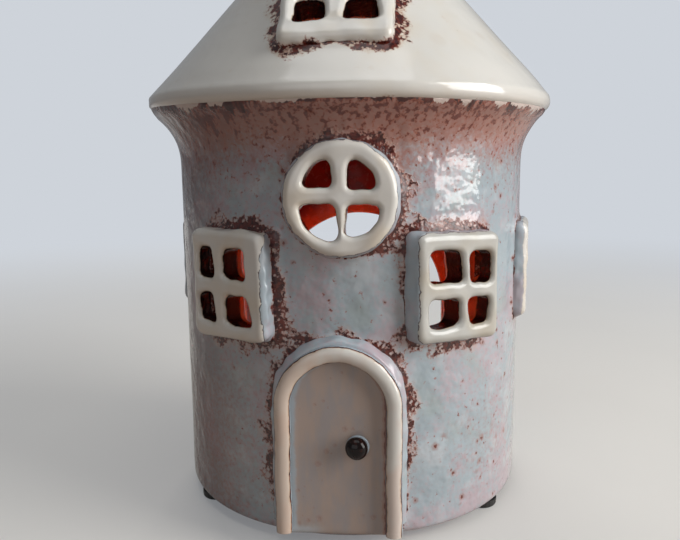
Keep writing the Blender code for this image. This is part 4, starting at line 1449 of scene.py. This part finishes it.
def coilTree():
    tree, given, out = geometryTree("rolledCoil", {
        "Radius": 0.002, "Height": 0.002, "Sink": 0.0, "Wander": 0.0, "Swell": 0.0, "Crown": 0.0,
        "Crown Low": 0.0, "Crown High": 1.0, "Around": 24, "Steps": 120})
    path = {"Curve": given["Geometry"], "Count": given["Steps"]}
    path = addNode(tree, "GeometryNodeResampleCurve", path)[0]
    place = addNode(tree, "GeometryNodeInputPosition")[0]
    stray = vectorCalc("SUBTRACT", grain(place, 75.0, 1.0, output="Color"), (0.5, 0.5, 0.5))
    stray = vectorCalc("MULTIPLY", stray, fromAxes(tree, given["Wander"], given["Wander"], 0.0))
    path = addNode(tree, "GeometryNodeSetPosition", {"Geometry": path, "Offset": stray})[0]
    axes = axesOf(place)
    fat = (grain(place, 42.0, 1.0) - 0.5) * given["Swell"] + 1.0
    fat = fat + ramp(axes["Y"], given["Crown Low"], given["Crown High"], 0.0, given["Crown"])
    path = addNode(tree, "GeometryNodeSetCurveRadius", {"Curve": path, "Radius": fat})[0]
    ring = {"Resolution": given["Around"], "Radius": given["Radius"]}
    ring = addNode(tree, "GeometryNodeCurvePrimitiveCircle", ring)[0]
    tube = {"Curve": path, "Profile Curve": ring, "Fill Caps": True}
    tube = addNode(tree, "GeometryNodeCurveToMesh", tube)[0]
    share = axes["Z"] / given["Radius"]
    level = calc("POWER", calc("MAXIMUM", share, 0.0), 0.72) * given["Height"]
    level = level + calc("MINIMUM", share, 0.0) * given["Sink"]
    seat = fromAxes(tree, axes["X"], axes["Y"], level)
    tube = addNode(tree, "GeometryNodeSetPosition", {"Geometry": tube, "Position": seat})[0]
    return endTree(out, tube, given["Material"])


def makeCoil():
    half = door["width"] / 2 - door["coilRadius"] - door["coilGap"]
    top = door["high"] - door["coilGap"] - door["coilRadius"] - coilShape["crownDrop"]
    path = [(half, door["low"] + coilShape["end"], 0.0)]
    for k in range(49):
        angle = math.pi * k / 48
        point = coilShape["peak"] * math.exp(-((angle - math.pi * 0.48) / 0.22) ** 2)
        reach = half + point - 0.0005
        across = reach * math.cos(angle) + 0.0005 * math.cos(angle)
        path.append((across, top - half + reach * math.sin(angle), 0.0))
    path.append((-half, door["low"] + coilShape["end"] + coilShape["endLeft"], 0.0))
    mesh = grow(bareCurve("doorCoilPath", path), coilTree(), {
        "Radius": door["coilRadius"], "Height": coilShape["height"], "Sink": coilShape["sink"],
        "Wander": coilShape["wander"], "Swell": coilShape["swell"], "Crown": coilShape["crown"],
        "Crown Low": top - coilShape["crownReach"], "Crown High": top, "Around": coilShape["around"],
        "Steps": coilShape["steps"], "Material": coilGlaze})
    weldMesh(mesh, 0.000005)
    points = pointsOf(mesh)
    points[:, 1] = np.maximum(points[:, 1], door["low"])
    lift = points[:, 2] * 1000
    points[:, 2] += door["coilGap"]
    setPoints(mesh, moved(points, doorPlace))
    piece = newPiece("doorCoil", mesh, coilGlaze)
    setLayer(mesh, "lift", lift)
    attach(piece, "house")
    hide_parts("door_coil")
    return piece


# Small turned pieces: a profile of (radius, height) pairs down the outside, spun round its own axis

def turnedMesh(name, profile, steps, closed):
    rings = np.array(profile, float)
    angle = np.arange(steps) * math.tau / steps
    points = []
    index = []
    for radius, height in rings:
        if radius < 1e-7:
            index.append([len(points)] * steps)
            points.append((0.0, 0.0, height))
        else:
            index.append(list(range(len(points), len(points) + steps)))
            points += [(radius * math.cos(a), radius * math.sin(a), height) for a in angle]
    faces = []
    rows = list(zip(index, index[1:]))
    if closed:
        rows.append((index[-1], index[0]))
    for upper, lower in rows:
        for k in range(steps):
            after = (k + 1) % steps
            ring = [lower[k], lower[after], upper[after], upper[k]]
            loop = [spot for place, spot in enumerate(ring) if spot not in ring[:place]]
            if len(loop) > 2:
                faces.append(loop)
    mesh = bpy.data.meshes.new(name)
    mesh.from_pydata(points, [], faces)
    return mesh


# Radii and heights of the chimney pot, and its gap over the roof
pot = {
    "foot": 0.0092, "neck": 0.0080, "height": 0.0130, "lip": 0.0008, "lipHeight": 0.0030, "steps": 96,
    "gap": 0.0003,
}


def makeChimney():
    foot = eave[1] + slopeLength * math.sin(slope) + pot["gap"]
    top = foot + pot["height"]
    lipRadius = pot["neck"] + pot["lip"]
    roll = pot["lipHeight"] / 2
    profile = [(house["ventRadius"] + 0.0003, top - 0.0001), (lipRadius - roll, top)]
    for k in range(1, 13):
        angle = math.radians(90 - 15 * k)
        profile.append((lipRadius - roll + roll * math.cos(angle), top - roll + roll * math.sin(angle)))
    neck = top - pot["lipHeight"]
    for k in range(1, 25):
        share = k / 24
        radius = pot["neck"] + (pot["foot"] - pot["neck"]) * share ** 1.6
        profile.append((radius - 0.00012 * math.sin(9 * share), neck - (neck - foot) * share))
    profile += [(house["ventRadius"], foot + (top - foot) * k / 8) for k in range(8)]
    mesh = turnedMesh("chimneyPot", profile, pot["steps"], True)
    points = pointsOf(mesh)
    squeeze = 1 - 0.012 * (0.5 + 0.5 * handWave(turnOf(points), points[:, 2], 5.0))
    radial = radiusOf(points)
    squeeze = np.where(radial > house["ventRadius"] + 0.0005, squeeze, 1.0)
    points[:, :2] *= squeeze[:, None]
    setPoints(mesh, points)
    piece = newPiece("chimneyPot", mesh, roofGlaze)
    low = (foot + 0.0012 - points[:, 2]) * 1000
    setLayer(mesh, "reach", np.clip(low / 1.2, 0.0, 0.75))
    setLayer(mesh, "inside", (radial < house["ventRadius"] + 0.0002).astype(float))
    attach(piece, "house")
    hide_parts("chimney_pot")
    return piece


def makeKnob():
    back = 180.0 - math.degrees(math.asin(door["knobSeat"] / door["knobRadius"]))
    ball = door["knobHeight"] / (1 - math.cos(math.radians(back)))
    profile = []
    for k in range(33):
        angle = math.radians(back * k / 32)
        radius = 1.07 * door["knobRadius"] * math.sin(angle)
        profile.append((radius, door["knobHeight"] - ball + ball * math.cos(angle)))
    # A ring of pale glaze pooled round its foot
    profile[-1] = (door["knobRadius"] * 0.86, 0.00045)
    ring = ((0.98, 0.00040), (1.06, 0.00026), (1.12, 0.0))
    profile += [(door["knobRadius"] * share, high) for share, high in ring]
    profile.append((0.0, 0.0))
    mesh = turnedMesh("doorKnob", profile, 64, False)
    points = pointsOf(mesh)
    lift = points[:, 2] * 1000
    points[:, :2] += np.array([0.00022, -0.00018]) * ((radiusOf(points) > 0.002) & (lift < 0.46))[:, None]
    turn = turnOf(points)
    squeeze = 1 - 0.02 * (1 + np.sin(2 * turn + 0.6)) * np.clip(lift / 2, 0, 1)
    points[:, :2] *= squeeze[:, None]
    points[:, 2] += 0.00008 * np.sin(3 * turn) * np.clip(lift - 2.5, 0, 1) * np.clip(4.1 - lift, 0, 1)
    place = facing(0.0, house["radius"] + door["proud"] + door["coilGap"], door["knobCentre"])
    place.translation.x = door["knobOffset"]
    setPoints(mesh, moved(points, place))
    piece = newPiece("doorKnob", mesh, knobGlaze)
    setLayer(mesh, "lift", lift)
    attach(piece, "house")
    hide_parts("door_knob")
    return piece


# Tealight: pressed flutes round the cup and a plaited wick; the cup, wax and wick holder are the CAD's own
tealight = {
    "foot": 0.0091, "radius": 0.0192, "flutes": 60, "fluteRadius": 0.00026, "fluteLow": 0.0022,
    "fluteHigh": 0.0128, "wickRadius": 0.0008, "wickFoot": 0.0008, "wickTop": 0.0178, "strands": 3,
    "twists": 5.0,
}


def fluteTree():
    tree, given, out = geometryTree("pressedFlutes", {
        "Flutes": 48, "Cup Radius": 0.019, "Flute Radius": 0.0003, "Low": 0.0, "High": 0.01})
    high, low, slim = given["High"], given["Low"], given["Flute Radius"]
    ring = {"Resolution": given["Flutes"], "Radius": given["Cup Radius"]}
    ring = addNode(tree, "GeometryNodeCurvePrimitiveCircle", ring)[0]
    pin = addNode(tree, "GeometryNodeMeshUVSphere", {"Segments": 8, "Rings": 6, "Radius": 1.0})[0]
    pin = {"Geometry": pin, "Scale": fromAxes(tree, slim, slim, (high - low) * 0.5)}
    pin = addNode(tree, "GeometryNodeTransform", pin)[0]
    pins = addNode(tree, "GeometryNodeInstanceOnPoints", {"Points": ring, "Instance": pin})[0]
    pins = {"Geometry": pins, "Translation": fromAxes(tree, 0.0, 0.0, (high + low) * 0.5)}
    return endTree(out, addNode(tree, "GeometryNodeTransform", pins)[0], given["Material"])


def wickTree():
    tree, given, out = geometryTree("plaitedWick", {
        "Strands": 3, "Radius": 0.0008, "Length": 0.015, "Twists": 5.0})
    share = given["Radius"] * 0.5
    helix = {"Resolution": 24, "Rotations": given["Twists"], "Start Radius": share, "End Radius": share,
             "Height": given["Length"]}
    helix = addNode(tree, "GeometryNodeCurveSpiral", helix)[0]
    ring = addNode(tree, "GeometryNodeCurvePrimitiveCircle", {"Resolution": 8, "Radius": share})[0]
    strand = {"Curve": helix, "Profile Curve": ring, "Fill Caps": True}
    strand = addNode(tree, "GeometryNodeCurveToMesh", strand)[0]
    spots = addNode(tree, "GeometryNodeMeshLine", {"Count": given["Strands"], "Offset": (0.0, 0.0, 0.0)})[0]
    angle = addNode(tree, "GeometryNodeInputIndex")[0] * calc("DIVIDE", math.tau, given["Strands"])
    strands = {"Points": spots, "Instance": strand, "Rotation": fromAxes(tree, 0.0, 0.0, angle)}
    return endTree(out, addNode(tree, "GeometryNodeInstanceOnPoints", strands)[0], given["Material"])


def bareMesh(name):
    return addObject(name, bpy.data.meshes.new(name))


def makeTealight():
    spec = tealight
    mesh = grow(bareMesh("cupFlutes"), fluteTree(), {
        "Flutes": spec["flutes"], "Cup Radius": spec["radius"], "Flute Radius": spec["fluteRadius"],
        "Low": spec["foot"] + spec["fluteLow"], "High": spec["foot"] + spec["fluteHigh"],
        "Material": cupMetal})
    flutes = newPiece("cupFlutes", mesh, cupMetal)
    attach(flutes, "tealight")
    mesh = grow(bareMesh("plaitedWick"), wickTree(), {
        "Strands": spec["strands"], "Radius": spec["wickRadius"] * 0.98,
        "Length": spec["wickTop"] - spec["wickFoot"] - 0.0006, "Twists": spec["twists"],
        "Material": wickCotton})
    points = pointsOf(mesh)
    points[:, 2] += spec["foot"] + spec["wickFoot"] + 0.0003
    setPoints(mesh, points)
    wick = newPiece("plaitedWick", mesh, wickCotton)
    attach(wick, "tealight")
    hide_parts("tealight_wick")


wallPiece = makeWall()
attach(wallPiece, "house")
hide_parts("body_wall")
print("wall made:", len(wallPiece.data.polygons), "faces")

roofPiece = makeRoof()
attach(roofPiece, "house")
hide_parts("roof_cone")
makeChimney()
print("roof made:", len(roofPiece.data.polygons), "faces")

for windowName in windows:
    windowPiece = makeWindow(windowName)
    print("window made:", windowName, len(windowPiece.data.polygons), "faces")

makeDoorSlab()
makeCoil()
makeKnob()
print("door made")

makeTealight()
cadFinishes = {
    "floor_slab": insideGlaze, "tealight_cup": cupMetal, "tealight_wax": candleWax,
    "wick_holder": holderMetal, "foot_front_left": footRubber, "foot_front_right": footRubber,
    "foot_back_left": footRubber, "foot_back_right": footRubber,
}
for nodeName, material in cadFinishes.items():
    kept = nodes[nodeName].data
    kept.materials.clear()
    kept.materials.append(material)
print("tealight made, CAD pieces finished")


# Stage: a floor and surround that are pale where they are seen, in the glaze and metal too; soft lamps
stage = {
    # How bright the unseen world is, how much of it a gloss shows, the floor's least share of it, and the
    # distances in metres between which the floor turns into it
    "floorRadius": 2.5, "ambient": 0.03, "glossy": 0.38, "least": 0.26, "fadeFrom": 0.10, "fadeTo": 0.90,
    "lamps": (
        # name, azimuth, distance, height, width, tall, watts, colour
        ("windowLight", 73.0, 0.75, 0.36, 0.46, 0.64, 7.0, (1.0, 0.99, 0.97)),
        ("frontFill", -14.0, 1.1, 0.45, 0.9, 0.7, 1.6, (0.97, 0.98, 1.0)),
        ("overhead", 10.0, 0.22, 1.3, 0.9, 0.9, 3.8, (1.0, 1.0, 1.0)),
        ("backFill", -165.0, 1.1, 0.60, 0.9, 0.7, 5.5, (1.0, 1.0, 1.0))),
    # A lamp behind that shines only through the arch: height, distance, aim, cone in degrees, watts, size
    "archLamp": {"high": 0.16, "back": 0.60, "aim": 0.042, "cone": 7.6, "watts": 42.0, "radius": 0.03},
    # The camera: its lens in millimetres, its eye in wall radii and its angles in degrees
    "lens": 670 / 680 * 36, "eye": (-0.0696, -4.1195, 1.8437), "turn": 4.8, "tilt": 8.777, "roll": -0.629,
}


def seenBy(tree):
    # The rays that meet a surface from the camera or through glass, and those that meet it in a gloss
    rays = addNode(tree, "ShaderNodeLightPath")
    return calc("MAXIMUM", rays["Is Camera Ray"], rays["Is Transmission Ray"]), rays["Is Glossy Ray"]


def makeFloor():
    mesh = bpy.data.meshes.new("floor")
    rim = arcPoints(stage["floorRadius"], [3.75 * k for k in range(96)])
    mesh.from_pydata([(x, y, 0.0) for x, y in rim], [], [list(range(96))])
    made, tree, shader = newMaterial("floorPaint", roughness=0.6)
    pale = tint(ramp(grain(millimetres(tree), 0.01, 2.0), 0.3, 0.7, 0.0, 0.06), "floor", "floorDull")
    plain, glossy = seenBy(tree)
    seen = calc("MAXIMUM", plain, glossy)
    # What the floor throws back on the house is less than what is seen of it
    feed(shader.inputs["Base Color"], tint(seen, "floorBounce", pale))
    # Far off, the floor turns into the surround, as a swept backdrop does
    place = addNode(tree, "ShaderNodeTexCoord")["Object"]
    away = addNode(tree, "ShaderNodeVectorMath", {0: place}, operation="LENGTH")["Value"]
    fade = ramp(away, stage["fadeFrom"], stage["fadeTo"], stage["least"], 1.0)
    fade = fade * (seen - (glossy - glossy * stage["glossy"]))
    glow = addNode(tree, "ShaderNodeEmission", {"Color": paint("around")})[0]
    blend = addNode(tree, "ShaderNodeMixShader", {0: fade, 1: Wire(tree, shader.outputs[0]), 2: glow})[0]
    feed(tree.nodes["Material Output"].inputs["Surface"], blend)
    floor = newPiece("floor", mesh, made)


def makeWorld():
    world = bpy.data.worlds.new("surround")
    world.use_nodes = True
    sky = world.node_tree.nodes["Background"]
    plain, glossy = seenBy(world.node_tree)
    seen = calc("MAXIMUM", plain, glossy * stage["glossy"])
    feed(sky.inputs["Color"], tint(seen, "aroundUnseen", "around"))
    feed(sky.inputs["Strength"], ramp(seen, 0.0, 1.0, stage["ambient"], 1.0))
    bpy.context.scene.world = world


def placeLamp(data, watts, spot, aim):
    data.energy = watts
    lamp = addObject(data.name, data)
    lamp.visible_camera = False
    lamp.location = spot
    lamp.rotation_euler = (Vector(aim) - lamp.location).to_track_quat("-Z", "Y").to_euler()
    return lamp


def makeLamps():
    for name, azimuth, distance, height, width, tall, watts, colour in stage["lamps"]:
        data = bpy.data.lights.new(name, "AREA")
        data.shape = "RECTANGLE"
        data.size, data.size_y = width, tall
        data.color = colour
        turn = math.radians(azimuth)
        spot = (distance * math.sin(turn), -distance * math.cos(turn), height)
        lamp = placeLamp(data, watts, spot, (0.0, 0.0, 0.10))
        lamp.visible_glossy = name != "backFill"
    spec = stage["archLamp"]
    data = bpy.data.lights.new("archLamp", "SPOT")
    data.spot_size = math.radians(spec["cone"])
    data.spot_blend = 0.5
    data.shadow_soft_size = spec["radius"]
    spot, aim = (0.0, spec["back"], spec["high"]), (0.0, house["radius"], spec["aim"])
    lamp = placeLamp(data, spec["watts"], spot, aim)
    lamp.visible_glossy = False


def makeCamera():
    data = bpy.data.cameras.new("camera")
    data.sensor_width = 36
    data.lens = stage["lens"]
    data.clip_start = 0.01
    camera = addObject("camera", data)
    unit = house["radius"]
    across, back, high = stage["eye"]
    spot = Matrix.Translation((across * unit, back * unit, high * unit + house["foot"]))
    camera.matrix_world = (Matrix.Rotation(math.radians(stage["turn"]), 4, "Z") @ spot
                           @ Matrix.Rotation(math.radians(90 - stage["tilt"]), 4, "X")
                           @ Matrix.Rotation(math.radians(stage["roll"]), 4, "Z"))
    bpy.context.scene.camera = camera


makeFloor()
makeWorld()
makeLamps()
makeCamera()
bpy.context.scene.view_settings.view_transform = "Standard"
print("stage set")
